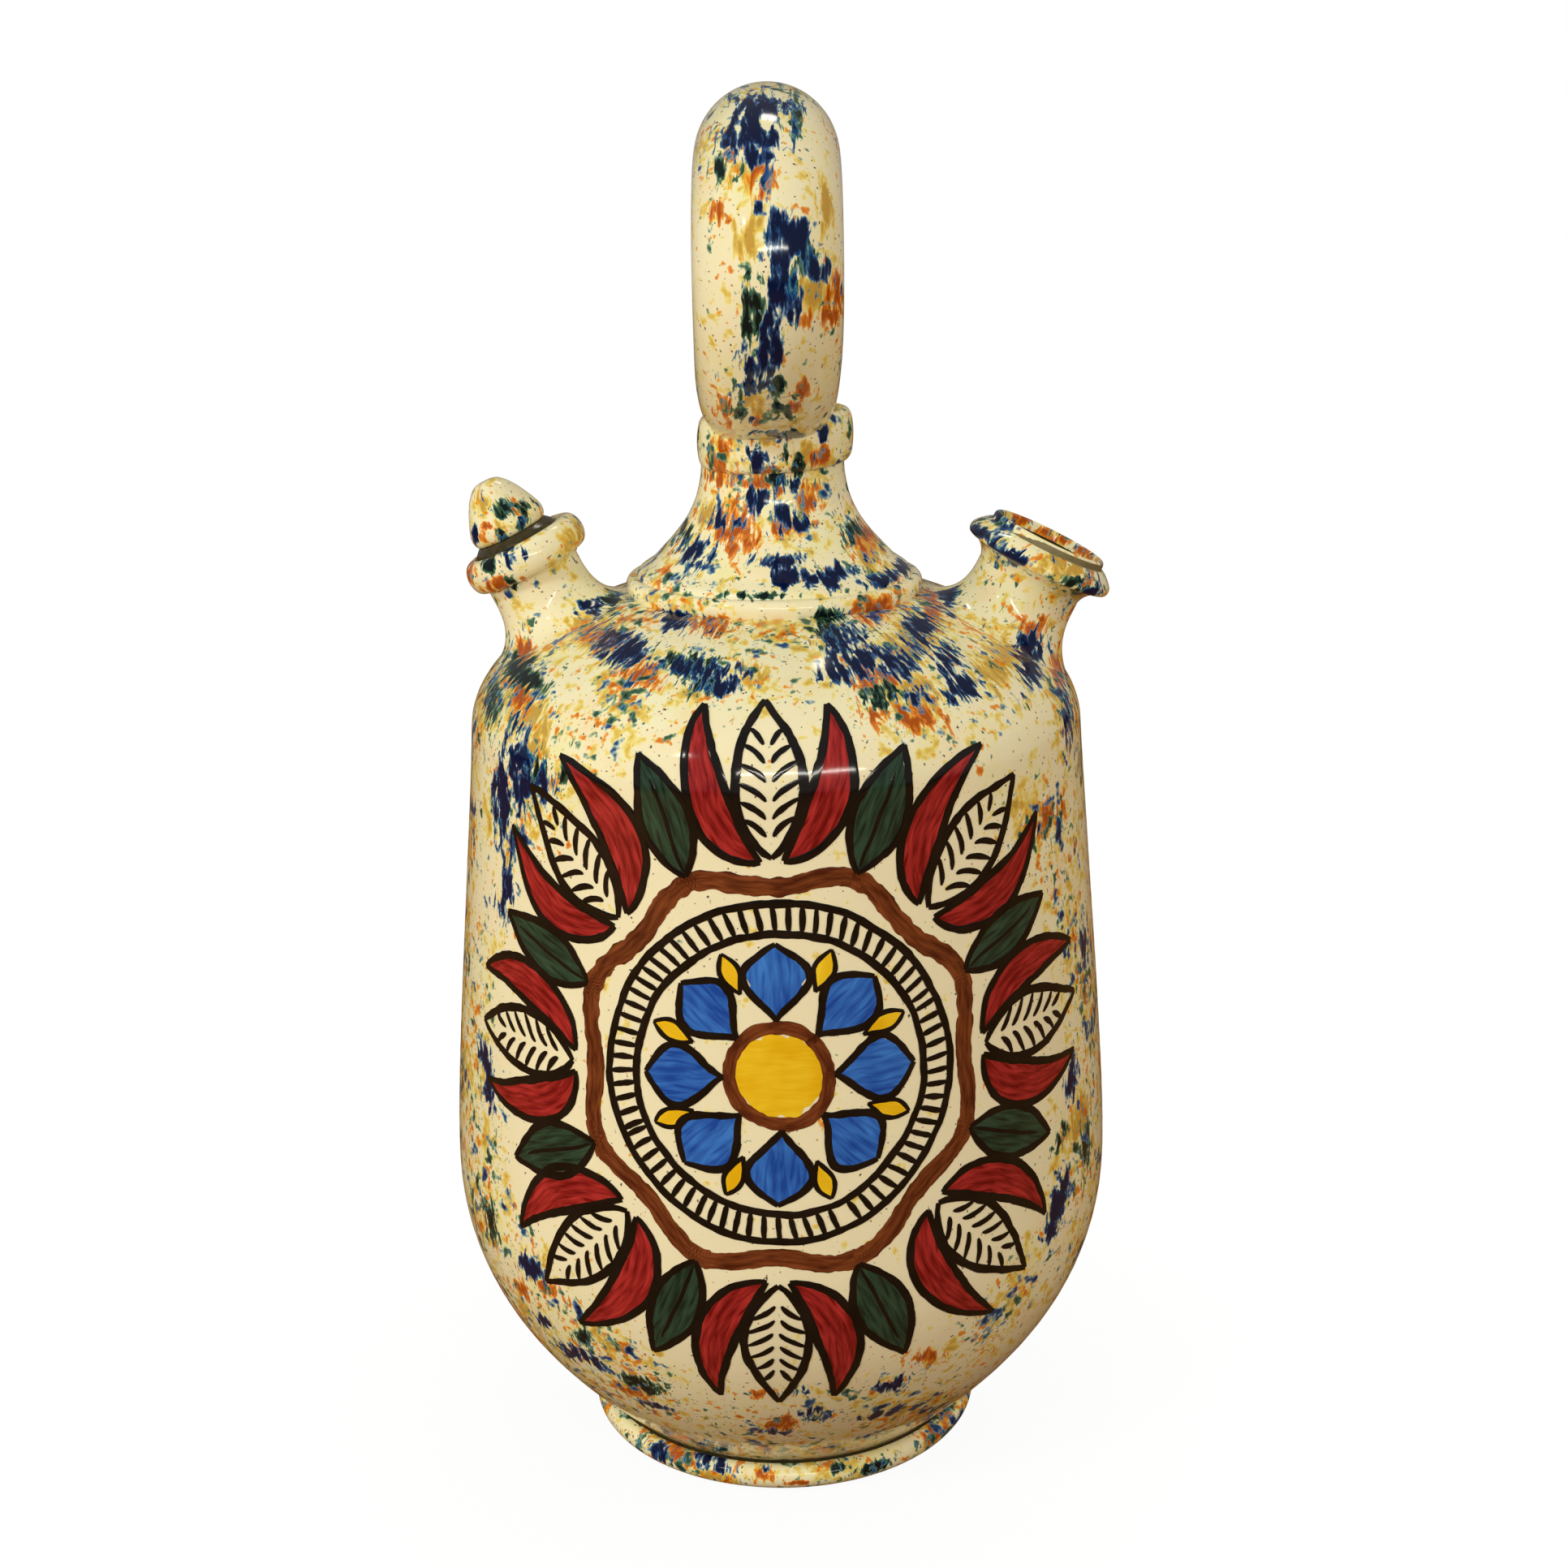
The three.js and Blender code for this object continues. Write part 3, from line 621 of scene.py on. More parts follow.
# The bead of the other spout was set a little off its axis, towards the handle.
BEAD_RADIUS, BEAD_ASIDE = 13.5, 0.7
for point in pieces["pouring_rim_glazed"].data.vertices:
    spot = POUR.inverted() @ point.co / MM
    if math.hypot(spot.x, spot.y) > BEAD_RADIUS:
        point.co += POUR.to_3x3() @ Vector((BEAD_ASIDE * MM, 0, 0))

# %% [markdown]
# ## The stopper
# A disc and plug of dark brown glaze, darkened further by painted shade under the knob, with a glazed acorn
# knob. It is loose, so both pieces ride on the body that lifts out of the spout.

# %% Stopper
plug = [
    (0, 13.7),
    (8.1, 13.7),
    (8.9, 24.7),
    (12.5, 24.7),
    *bend((12.6, 25), (12.7, 26.2), (12.2, 26.6), (10.5, 28.1), 8),
    (0, 28.1),
]
acorn = [
    (0, 28.2),
    (10.2, 28.2),
    *bend((10.4, 28.3), (11.6, 29.2), (11.5, 31.4), (10.9, 32.8), 10),
    *bend((10.9, 32.8), (9.7, 36.2), (6.2, 43.4), (3.2, 44.3), 14)[1:],
    *bend((3.2, 44.3), (2, 44.7), (0.8, 44.6), (0, 44.6), 6)[1:],
]
# The disc's dark brown is partly its glaze and partly painted shade under the knob.
turned("stopper_disc", plug, girth=12, rings=90, sides=97, uneven=0.2, place=POUR, finish=DARK_GLAZE_AND_SHADE)
turned("stopper_acorn", acorn, girth=10, rings=90, sides=97, uneven=0.4, place=POUR)

# %% [markdown]
# ## Where the colour falls
# The four channels of `dabs` say how much cobalt, iron, copper and ochre a brush left near each
# point, and `flecks` how thick the rain of drops is. On the side that faces us the main dabs are
# listed one by one, as a width and a height in the front view; round the back they fall by chance.
# The middle of the front was kept clear for the rosette.

# %% Flicked colour
# Across, up, half width and half height of each dab, in millimetres. Those of FAR_LIP lie on the far
# side of the open spout's lip, which shows inside its mouth.
DABS = {
    "cobalt": [
        (-1, 396, 8, 4), (-4, 389, 9, 5), (-5, 331, 3, 6), (-1, 335, 2, 9), (2, 338, 2, 8),
        (-3, 384, 3, 3), (-2, 371, 2, 3), (2, 366, 4, 6), (3, 360, 4, 6), (5, 352, 3, 9), (7, 364, 3, 5),
        (12, 356, 3, 4), (1, 352, 2, 4), (0, 345, 2, 4), (-5, 326, 2, 3), (-1, 326, 2, 3), (5, 310, 4, 2),
        (-1, 311, 3, 2), (-5, 316, 1, 2), (-4, 304, 3, 5), (14, 309, 2, 3), (6, 295, 2, 2),
        (-3, 293, 3, 2), (-4, 291, 4, 4), (2, 287, 4, 4), (7, 285, 5, 2), (-22, 276, 5, 4),
        (1, 276, 8, 2), (5, 272, 6, 3), (16, 272, 7, 3), (34, 269, 8, 2), (-15, 285, 2, 3),
        (-71, 284, 2, 2), (-85, 280, 1, 3), (-74, 276, 4, 3), (58, 279, 4, 2), (66, 275, 4, 2),
        (69, 273, 3, 2), (89, 263, 3, 2), (64, 283, 3, 2), (50, 262, 4, 3), (-52, 260, 4, 2),
        (-27, 261, 5, 2), (-42, 255, 10, 3), (-20, 253, 12, 2), (-15, 250, 6, 2), (19, 258, 7, 3),
        (24, 254, 6, 3), (33, 253, 6, 4), (16, 253, 4, 3), (50, 246, 6, 3), (37, 246, 5, 2),
        (47, 252, 4, 3), (40, 258, 6, 3), (72, 247, 5, 6), (82, 231, 2, 8), (-76, 214, 3, 15),
        (-70, 224, 4, 12), (-63, 222, 4, 5), (-74, 190, 3, 6), (-77, 181, 3, 5), (-84, 135, 3, 6),
        (-83, 126, 3, 5), (-72, 80, 5, 5), (-69, 61, 3, 3), (-58, 52, 8, 4), (83, 128, 3, 6),
        (80, 96, 3, 7), (77, 88, 3, 6), (88, 165, 2, 6), (3, 54, 6, 3), (9, 42, 5, 4), (25, 37, 5, 2),
        (-3, 32, 6, 2), (-38, 39, 7, 2), (30, 51, 6, 3), (-38, 5, 3, 4), (-21, 7, 6, 2),
    ],
    "iron": [
        (-10, 384, 2, 2), (-9, 381, 4, 2), (-2, 379, 4, 5), (-2, 374, 2, 3), (-13, 371, 2, 3),
        (-10, 369, 2, 1), (17, 350, 2, 6), (9, 344, 2, 3), (16, 344, 3, 3), (-12, 318, 3, 5),
        (6, 320, 2, 2), (9, 324, 3, 3), (-3, 316, 2, 2), (13, 303, 3, 3), (-15, 301, 3, 6),
        (-14, 296, 5, 2), (-5, 296, 6, 2), (-1, 300, 3, 1), (11, 294, 3, 2), (2, 294, 3, 2),
        (-10, 284, 6, 8), (10, 291, 4, 4), (2, 284, 3, 2), (26, 279, 5, 4), (-81, 283, 2, 1),
        (-78, 267, 4, 3), (-71, 269, 2, 1), (-87, 270, 2, 4), (88, 267, 3, 2), (44, 260, 3, 3),
        (-11, 297, 5, 2), (-18, 261, 6, 2), (-36, 251, 6, 3), (-70, 242, 4, 5), (-47, 256, 9, 2),
        (27, 263, 6, 3), (27, 250, 6, 3), (27, 243, 5, 3), (36, 242, 7, 3), (74, 252, 5, 4),
        (-71, 248, 3, 5), (-71, 183, 3, 5), (75, 207, 5, 5), (81, 241, 3, 5), (-71, 98, 4, 3),
        (-66, 76, 5, 4), (-58, 75, 3, 3), (-76, 70, 3, 4), (-1, 37, 5, 5), (-7, 53, 5, 3), (38, 61, 6, 4),
        (-45, 44, 6, 3), (-32, 7, 5, 3), (-7, 6, 3, 2), (4, 4, 4, 1), (45, 6, 4, 3),
    ],
    "copper": [
        (7, 391, 2, 5), (-13, 382, 2, 3), (1, 367, 2, 2), (9, 359, 3, 4), (-6, 343, 2, 7),
        (-6, 350, 2, 7), (-3, 348, 2, 8), (2, 326, 2, 3), (-8, 322, 1, 6), (-9, 318, 2, 2),
        (2, 318, 4, 3), (4, 303, 1, 5), (7, 301, 2, 4), (-17, 301, 1, 4), (1, 297, 3, 2),
        (-25, 280, 2, 4), (22, 281, 3, 3), (-74, 287, 5, 3), (-77, 281, 2, 2), (-81, 273, 3, 3),
        (-74, 269, 2, 3), (55, 280, 2, 2), (83, 267, 4, 2), (-3, 268, 9, 1), (-47, 261, 3, 2),
        (87, 264, 3, 2), (-71, 245, 9, 3), (-79, 236, 3, 5), (-23, 254, 8, 2), (-18, 250, 6, 2),
        (15, 261, 4, 4), (28, 247, 5, 3), (-65, 225, 4, 5), (-56, 225, 3, 4), (-85, 86, 3, 7),
        (-57, 62, 3, 4), (79, 115, 3, 5), (89, 103, 2, 9), (-40, 49, 7, 4), (27, 5, 6, 2), (17, 7, 3, 1),
    ],
    "ochre": [
        (-6, 364, 4, 6), (14, 371, 2, 7), (11, 351, 5, 6), (-8, 379, 5, 4), (-5, 321, 4, 4),
        (9, 304, 2, 4), (-1, 308, 3, 2), (27, 276, 4, 5), (-19, 286, 3, 4), (-83, 289, 2, 3),
        (-57, 280, 3, 4), (79, 272, 5, 3), (83, 270, 5, 2), (-77, 283, 3, 2), (-67, 238, 8, 6),
        (-50, 256, 9, 3), (-6, 252, 5, 3), (36, 255, 9, 4), (61, 248, 7, 5), (36, 246, 8, 5),
        (-65, 231, 5, 4), (-66, 87, 4, 5), (86, 115, 4, 7), (-21, 4, 7, 2),
    ],
}
FAR_LIP = {
    "cobalt": [(64, 283, 3, 2)],
    "iron": [(72, 279, 5, 2), (78, 275, 4, 2), (84, 273, 4, 2), (90, 270, 3, 2)],
    "copper": [(66, 281, 2, 2)],
    "ochre": [(80, 273, 6, 3)],
}
ROSETTE_HEIGHT, ROSETTE_GIRTH = 150, 97  # height of its middle, and the body's radius round it
CLEAR_REACH, CLEAR_FADE = 84, 18  # no dab nearer than this, and all of them so much further out


def flicked(piece, seed, heavy, rain):
    """Stores dabs and flecks on a piece, thinned round the rosette."""
    mesh = piece.data
    points = np.zeros(len(mesh.vertices) * 3)
    mesh.vertices.foreach_get("co", points)
    points = points.reshape(-1, 3) / MM
    x, y, z = points.T

    def chance(size, shift):
        return np.array([noise.noise(Vector(p) / size + shift) for p in points])

    # Nought on the side that faces us, and one from near the flanks to the back.
    back = np.clip((y + 45) / 30, 0, 1)
    near = {ink: np.zeros(len(points)) for ink in DABS}
    for ink, dabs in DABS.items():
        for side, marks in ((y < 0, dabs), (y > 0, FAR_LIP[ink])):
            for across, up, wide, high in marks:
                far = np.hypot((x - across) / wide, (z - up) / high)
                near[ink] = np.maximum(near[ink], np.exp(-(far**2) / 1.7) * side)
    # Where one brush was flicked the others were too, so every dab keeps some company.
    busy = np.max(list(near.values()), axis=0) ** 0.4
    dabs = np.zeros((len(points), 4))
    for channel, ink in enumerate(DABS):
        shift = Vector((seed * 3.1, channel * 7.7, seed * 1.3))
        loose = np.clip((chance(16, shift) - 0.1) * 2.8, 0, 1.2) * heavy * (0.3 + 0.7 * back)
        company = 0.65 * np.clip(chance(6, shift) * 3.4, 0, 1) * busy
        dabs[:, channel] = np.max([loose, company, 1.4 * near[ink]], axis=0)
    clear = np.ones(len(points))
    if piece.name == "jug_body":
        reach = np.hypot(ROSETTE_GIRTH * np.arctan2(x, -y), z - ROSETTE_HEIGHT)
        clear = np.clip((reach - CLEAR_REACH) / CLEAR_FADE, 0, 1)
    field = mesh.attributes.new("dabs", "FLOAT_COLOR", "POINT")
    field.data.foreach_set("color", (dabs * clear[:, None]).ravel())
    gusts = 0.85 + 0.25 * back + 0.8 * chance(28, Vector((seed, 5, 9)))
    field = mesh.attributes.new("flecks", "FLOAT", "POINT")
    field.data.foreach_set("value", rain * clear * gusts)
    print(piece.name, "has dabs on", round(float((dabs.max(axis=1) > 0.5).mean()), 2), "of its points")


# For each glazed piece, how heavy its loose dabs are and how thick the rain.
cover = {
    "jug_body": (0.8, 1.0),
    "foot_ring_glazed": (0.6, 1.1),
    "neck_trumpet": (0.5, 0.75),
    "collar_coil": (0.5, 0.75),
    "ring_handle_glazed": (0.5, 0.6),
    "filling_neck_glazed": (0.3, 0.6),
    "filling_rim_glazed": (0.7, 0.8),
    "pouring_neck_glazed": (0.3, 0.7),
    "pouring_rim_glazed": (0.4, 0.6),
    "stopper_acorn": (0.3, 0.6),
}
for seed, (name, (heavy, rain)) in enumerate(cover.items(), start=1):
    flicked(pieces[name], seed, heavy, rain)

# %% [markdown]
# ## The painted rosette
# The painter works in strokes: each is a path with a brush that presses down and lifts. One part
# in eight of the flower is written down flat. Geometry Nodes turns it into eight parts that differ
# a little, shakes the lines as a hand does, gives each stroke its width, and wraps the whole round
# the body: across becomes a turn about the axis, up becomes a length along the outline.


# %% Brush strokes tree
def brush_tree(hand):
    """Flat strokes copied round a middle, shaken, widened and wrapped round the body."""
    sockets = [("Strokes", "Geometry"), ("Copies", "Int"), ("Seed", "Int"), ("Shake", "Float")]
    sockets += [("Lift", "Float"), ("Outline", "Object"), ("Middle", "Float")]
    sockets += [("Uneven", "Float"), ("Ink", "Material")]
    tree, given = group("Brush strokes", sockets, [("Paint", "Geometry")])

    # Copies turned round the middle, each out of its place by up to two degrees.
    path = add(tree, "GeometryNodeMeshToCurve", [given["Strokes"]])
    spots = add(tree, "GeometryNodeMeshLine", {"Count": given["Copies"], "Offset": (0, 0, 0)})
    step = add(tree, "ShaderNodeMath", [math.tau, given["Copies"]], operation="DIVIDE")
    slip = add(tree, "FunctionNodeRandomValue", {2: -0.035, 3: 0.035, "Seed": given["Seed"]}).outputs[1]
    number = add(tree, "GeometryNodeInputIndex")
    angle = add(tree, "ShaderNodeMath", [number, step, slip], operation="MULTIPLY_ADD")
    spin = add(tree, "ShaderNodeCombineXYZ", {"Z": angle})
    copies = add(tree, "GeometryNodeInstanceOnPoints", {"Points": spots, "Instance": path, "Rotation": spin})
    real = add(tree, "GeometryNodeRealizeInstances", [copies])

    # The hand's shake: slow over 30 mm and quick over 6 mm.
    flat = add(tree, "GeometryNodeInputPosition")
    moved = real
    for pitch, share in ((30, 1.0), (6, 0.22)):
        wave = add(tree, "ShaderNodeTexNoise", {"Vector": flat, "Scale": 1 / (pitch * MM), "Detail": 0})
        pushes = wave.outputs["Color"]
        centred = add(tree, "ShaderNodeVectorMath", [pushes, (0.5, 0.5, 0.5)], operation="SUBTRACT")
        level = add(tree, "ShaderNodeVectorMath", [centred, (share, share, 0)], operation="MULTIPLY")
        shift = add(tree, "ShaderNodeVectorMath", {0: level, "Scale": given["Shake"]}, operation="SCALE")
        moved = add(tree, "GeometryNodeSetPosition", {"Geometry": moved, "Offset": shift})

    # A tube as wide as the brush, then pressed flat on the clay.
    reach = add(tree, "GeometryNodeInputNamedAttribute", {"Name": "half_width"}, data_type="FLOAT")
    hairs = add(tree, "ShaderNodeTexNoise", {"Vector": flat, "Scale": 1 / (3 * MM), "Detail": 1})
    press = add(tree, "ShaderNodeMath", [hairs, 0.7, 0.65], operation="MULTIPLY_ADD")
    width = add(tree, "ShaderNodeMath", [reach, press], operation="MULTIPLY")
    length = add(tree, "GeometryNodeSplineParameter").outputs["Length"]
    ahead = add(tree, "GeometryNodeInputTangent")
    beside = add(tree, "ShaderNodeVectorMath", [ahead, (0, 0, 1)], operation="CROSS_PRODUCT")
    kept = moved
    for label, value, kind in (
        ("width", width, "FLOAT"),
        ("along", length, "FLOAT"),
        ("middle", flat, "FLOAT_VECTOR"),
        ("beside", beside, "FLOAT_VECTOR"),
    ):
        values = {"Geometry": kept, "Name": label, "Value": value}
        kept = add(tree, "GeometryNodeStoreNamedAttribute", values, data_type=kind, domain="POINT")
    ring = add(tree, "GeometryNodeCurvePrimitiveCircle", {"Resolution": 14, "Radius": 1})
    wide = add(tree, "GeometryNodeInputNamedAttribute", {"Name": "width"}, data_type="FLOAT")
    tube = add(
        tree,
        "GeometryNodeCurveToMesh",
        {"Curve": kept, "Profile Curve": ring.outputs["Curve"], "Scale": wide.outputs[0], "Fill Caps": True},
    )
    # Each point keeps how far it lies across and along its stroke, for the hairs of the brush.
    named = {
        label: add(tree, "GeometryNodeInputNamedAttribute", {"Name": label}, data_type=kind).outputs[0]
        for label, kind in (("along", "FLOAT"), ("middle", "FLOAT_VECTOR"), ("beside", "FLOAT_VECTOR"))
    }
    off = add(tree, "ShaderNodeVectorMath", [flat, named["middle"]], operation="SUBTRACT")
    across = add(tree, "ShaderNodeVectorMath", [off, named["beside"]], operation="DOT_PRODUCT")
    brush = add(tree, "ShaderNodeCombineXYZ", [across.outputs["Value"], named["along"]])
    values = {"Geometry": tube, "Name": "brush", "Value": brush}
    tube = add(tree, "GeometryNodeStoreNamedAttribute", values, data_type="FLOAT_VECTOR", domain="POINT")
    at = add(tree, "ShaderNodeSeparateXYZ", [flat]).outputs
    rise = add(tree, "ShaderNodeMath", [at["Z"], wide.outputs[0]], operation="DIVIDE")
    high = add(tree, "ShaderNodeMath", [rise, 0.05 * MM, given["Lift"]], operation="MULTIPLY_ADD")

    # Wrapped round the body.
    outline = add(tree, "GeometryNodeObjectInfo", [given["Outline"]])
    wall = add(tree, "GeometryNodeMeshToCurve", [outline.outputs["Geometry"]])
    climb = add(tree, "ShaderNodeMath", [at["Y"], given["Middle"]], operation="ADD")
    spot = add(tree, "GeometryNodeSampleCurve", {"Curves": wall, "Length": climb}, mode="LENGTH")
    point = add(tree, "ShaderNodeSeparateXYZ", [spot.outputs["Position"]]).outputs
    run = add(tree, "ShaderNodeSeparateXYZ", [spot.outputs["Tangent"]]).outputs
    radius = add(tree, "ShaderNodeMath", [run["Z"], high, point["X"]], operation="MULTIPLY_ADD")
    drop = add(tree, "ShaderNodeMath", [run["X"], high], operation="MULTIPLY")
    height = add(tree, "ShaderNodeMath", [point["Z"], drop], operation="SUBTRACT")
    turn = add(tree, "ShaderNodeMath", [at["X"], point["X"]], operation="DIVIDE")
    sine = add(tree, "ShaderNodeMath", [turn], operation="SINE")
    cosine = add(tree, "ShaderNodeMath", [turn], operation="COSINE")
    east = add(tree, "ShaderNodeMath", [radius, sine], operation="MULTIPLY")
    front = add(tree, "ShaderNodeMath", [radius, cosine], operation="MULTIPLY")
    south = add(tree, "ShaderNodeMath", [front, -1], operation="MULTIPLY")
    place = add(tree, "ShaderNodeCombineXYZ", [east, south, height])
    thrown = add(tree, "GeometryNodeGroup", {"Place": place, "Uneven": given["Uneven"]}, node_tree=hand)
    laid = add(tree, "GeometryNodeSetPosition", {"Geometry": tube, "Position": thrown})
    smooth = add(tree, "GeometryNodeSetShadeSmooth", [laid])
    last = add(tree, "GeometryNodeRealizeInstances", [smooth])
    inked = add(tree, "GeometryNodeSetMaterial", {"Geometry": last, "Material": given["Ink"]})
    add(tree, "NodeGroupOutput", [inked])
    return tree


BRUSH = brush_tree(HAND)
print(BRUSH.name, len(BRUSH.nodes), "nodes")

# %% [markdown]
# ## One part in eight
# A fill is a stroke too: a broad brush drawn once along the middle of a petal. Black lines of
# about 2 mm follow the edges of the fills and hatch the spaces between them.


# %% Strokes of the rosette
def petal(start, end, half, fullest=1.0, steps=30):
    """Middle line of a petal that points along X, and its half width at each point."""
    t = np.linspace(0, 1, steps + 1)
    return np.c_[start + (end - start) * t, 0 * t], half * np.sin(math.pi * t**fullest)


def edges(path, half):
    """Both edges of a stroke, as two paths."""
    run = np.gradient(path, axis=0)
    run /= np.linalg.norm(run, axis=1)[:, None]
    side = np.c_[-run[:, 1], run[:, 0]] * np.asarray(half)[:, None]
    return path + side, path - side


def turned_by(path, degrees):
    """A flat path turned about the middle of the flower."""
    a = math.radians(degrees)
    return path @ np.array([[math.cos(a), math.sin(a)], [-math.sin(a), math.cos(a)]])


def arc(radius, start, end, steps=24):
    """Part of a circle, or of a wavy ring where the radius is a function of the angle."""
    a = np.radians(np.linspace(start, end, steps + 1))
    out = radius(a) if callable(radius) else np.full(len(a), radius)
    return np.c_[np.cos(a), np.sin(a)] * out[:, None]


def stroke(path, half, blunt=0.6):
    """A drawn line: the brush presses down, and lifts at both ends."""
    t = np.linspace(0, 1, len(path))
    return path, half * (blunt + (1 - blunt) * np.sqrt(np.sin(math.pi * t)))


PARTS = 8
HALF_PART = 180 / PARTS
fills = {name: [] for name in ("blue", "yellow", "brown", "red", "green")}
lines = []

blue_path, blue_half = petal(15.2, 36.5, 8.6, 1.3)
fills["blue"].append((blue_path, blue_half))
lines += [stroke(edge, 1.1) for edge in edges(blue_path, blue_half)]

drop_path, drop_half = petal(25, 37, 2.7, 1.2)
drop_path = turned_by(drop_path, HALF_PART)
fills["yellow"].append((drop_path, drop_half))
lines += [stroke(edge, 0.7) for edge in edges(drop_path, drop_half)]

fills["brown"].append((arc(13.4, -4, 49), np.full(25, 1.9)))
lines += [stroke(arc(39.2, -26, 26), 1.1, 0.8), stroke(arc(47.2, -26, 26), 1.1, 0.8)]
for degrees in np.arange(-HALF_PART + 2.5, HALF_PART, 5):
    hatch = bend((40, 0), (42, 0.3), (44.5, 0.5), (46.6, 0.9), 8)
    lines.append(stroke(turned_by(hatch, degrees), 0.85, 0.5))
fills["brown"].append((arc(lambda a: 54.2 - 2.4 * np.cos(PARTS * a), -26, 26, 48), np.full(49, 2.6)))

cup_path, cup_half = petal(60, 103, 8.8, 0.8)
lines += [stroke(edge, 1.25) for edge in edges(cup_path, cup_half)]
for k in range(6):
    base = 66 + 4.6 * k
    reach = np.interp(base + 4.5, cup_path[:, 0], cup_half) - 0.8
    for side in (1, -1):
        knee = (base + 3.4, reach * 0.6 * side)
        tip = (base + 4.5, reach * side)
        bar = bend((base, 0.9 * side), (base + 2, 2 * side), knee, tip, 8)
        lines.append(stroke(bar, 0.85, 0.35))
for side in (1, -1):
    wing = bend((59, 3.0 * side), (65, 15 * side), (80, 21.5 * side), (101, 16 * side), 30)
    wing_half = 5.8 * np.sin(math.pi * np.linspace(0, 1, 31) ** 0.95) ** 0.9
    fills["red"].append((wing, wing_half))
    lines += [stroke(edge, 1.2) for edge in edges(wing, wing_half)]

leaf_path, leaf_half = petal(58.5, 93, 7.2, 0.85)
leaf_path = turned_by(leaf_path, HALF_PART)
fills["green"].append((leaf_path, leaf_half))
lines += [stroke(edge, 1.15) for edge in edges(leaf_path, leaf_half)]
vein = bend((60, 0), (68, 0.4), (78, -0.4), (86, 0), 12)
lines.append(stroke(turned_by(vein, HALF_PART), 0.6, 0.4))

DISC = 11.7
disc = np.c_[np.linspace(-DISC, DISC, 41), np.zeros(41)]
disc_half = np.sqrt(DISC**2 - disc[:, 0] ** 2 + 0.01)
print("one part in eight:", {ink: len(strokes) for ink, strokes in fills.items()}, len(lines), "lines")

# %% [markdown]
# ## Enamel colours
# Brushed enamel is never even: it lies thicker where the brush slowed, so each colour wanders
# between a dark and a light along the stroke. Fired, it shines as the glaze does.


# %% Enamels and painting
def enamel(name, dark, light, streaky):
    """Brushed, fired enamel: streaks along the stroke, under the same gloss as the glaze."""
    material, tree, shader = new_finish(name)
    brush = add(tree, "ShaderNodeAttribute", attribute_name="brush").outputs["Vector"]
    place = add(tree, "ShaderNodeTexCoord").outputs["Object"]
    # Hair marks are 1.2 mm wide and 10 mm long, and the colour pools over about 8 mm.
    hairs = add(tree, "ShaderNodeMapping", {"Vector": brush, "Scale": (800, 100, 1)})
    streaks = add(tree, "ShaderNodeTexNoise", {"Vector": hairs, "Scale": 1, "Detail": 2, "Distortion": 0.4})
    pools = add(tree, "ShaderNodeTexNoise", {"Vector": place, "Scale": 1 / (8 * MM), "Detail": 1})
    both = add(tree, "ShaderNodeMix", {"Factor": streaky, "A": pools, "B": streaks})
    even = add(tree, "ShaderNodeMapRange", {"Value": both, "From Min": 0.38, "From Max": 0.7})
    mixed = add(tree, "ShaderNodeMix", {"Factor": even, 6: linear(dark), 7: linear(light)}, data_type="RGBA")
    tree.links.new(mixed.outputs[2], shader.inputs["Base Color"])
    shader.inputs["Roughness"].default_value = 0.12
    shader.inputs["IOR"].default_value = 1.52
    return material


ENAMELS = {
    "blue": enamel("cobalt enamel", "#11459E", "#3F82D8", 0.6),
    "yellow": enamel("antimony yellow enamel", "#E6B010", "#F4CE2E", 0.4),
    "brown": enamel("manganese brown enamel", "#4A1C0C", "#8C4A26", 0.7),
    "red": enamel("iron red enamel", "#6C070C", "#BC3432", 0.75),
    "green": enamel("copper green enamel", "#12241A", "#35523E", 0.7),
    "black": enamel("black outline enamel", "#0A0706", "#1C1512", 0.5),
}
body_line = drawn("body_line", [(r, 0, z) for r, z in skin_line])
run = np.r_[0, np.cumsum(np.linalg.norm(np.diff(skin_line, axis=0), axis=1))]
MIDDLE = float(np.interp(ROSETTE_HEIGHT, skin_line[:, 1], run))
SHAKE, THINNEST = 3.2, 0.12
FILL_LIFT, LINE_LIFT = 0.07, 0.13  # of the films above the glaze


def painted(name, strokes, ink, copies, lift):
    """Lays strokes, written flat in millimetres, on the jug as one film of enamel."""
    mesh = bpy.data.meshes.new(name)
    points, joins, widths = [], [], []
    for path, half in strokes:
        joins += [(len(points) + i, len(points) + i + 1) for i in range(len(path) - 1)]
        points += [(x * MM, y * MM, 0) for x, y in path]
        widths += [max(w, THINNEST) * MM for w in half]
    mesh.from_pydata(points, joins, [])
    mesh.attributes.new("half_width", "FLOAT", "POINT").data.foreach_set("value", widths)
    piece = placed(name, mesh)
    values = {"Copies": copies, "Seed": 3, "Shake": SHAKE * MM, "Lift": lift * MM, "Outline": body_line}
    values |= {"Middle": MIDDLE * MM, "Uneven": UNEVEN * MM, "Ink": ENAMELS[ink]}
    settled(piece, BRUSH, values)
    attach(piece, "jug")
    print(name, len(piece.data.vertices), "points")


for ink, strokes in fills.items():
    painted("rosette_" + ink, strokes, ink, PARTS, FILL_LIFT)
painted("rosette_disc", [(disc, disc_half)], "yellow", 1, FILL_LIFT)
painted("rosette_black", lines, "black", PARTS, LINE_LIFT)
bpy.data.objects.remove(body_line)

# %% [markdown]
# ## Riding on the part
# Each piece takes the place of the members of clay that it shows, and moves with their body.

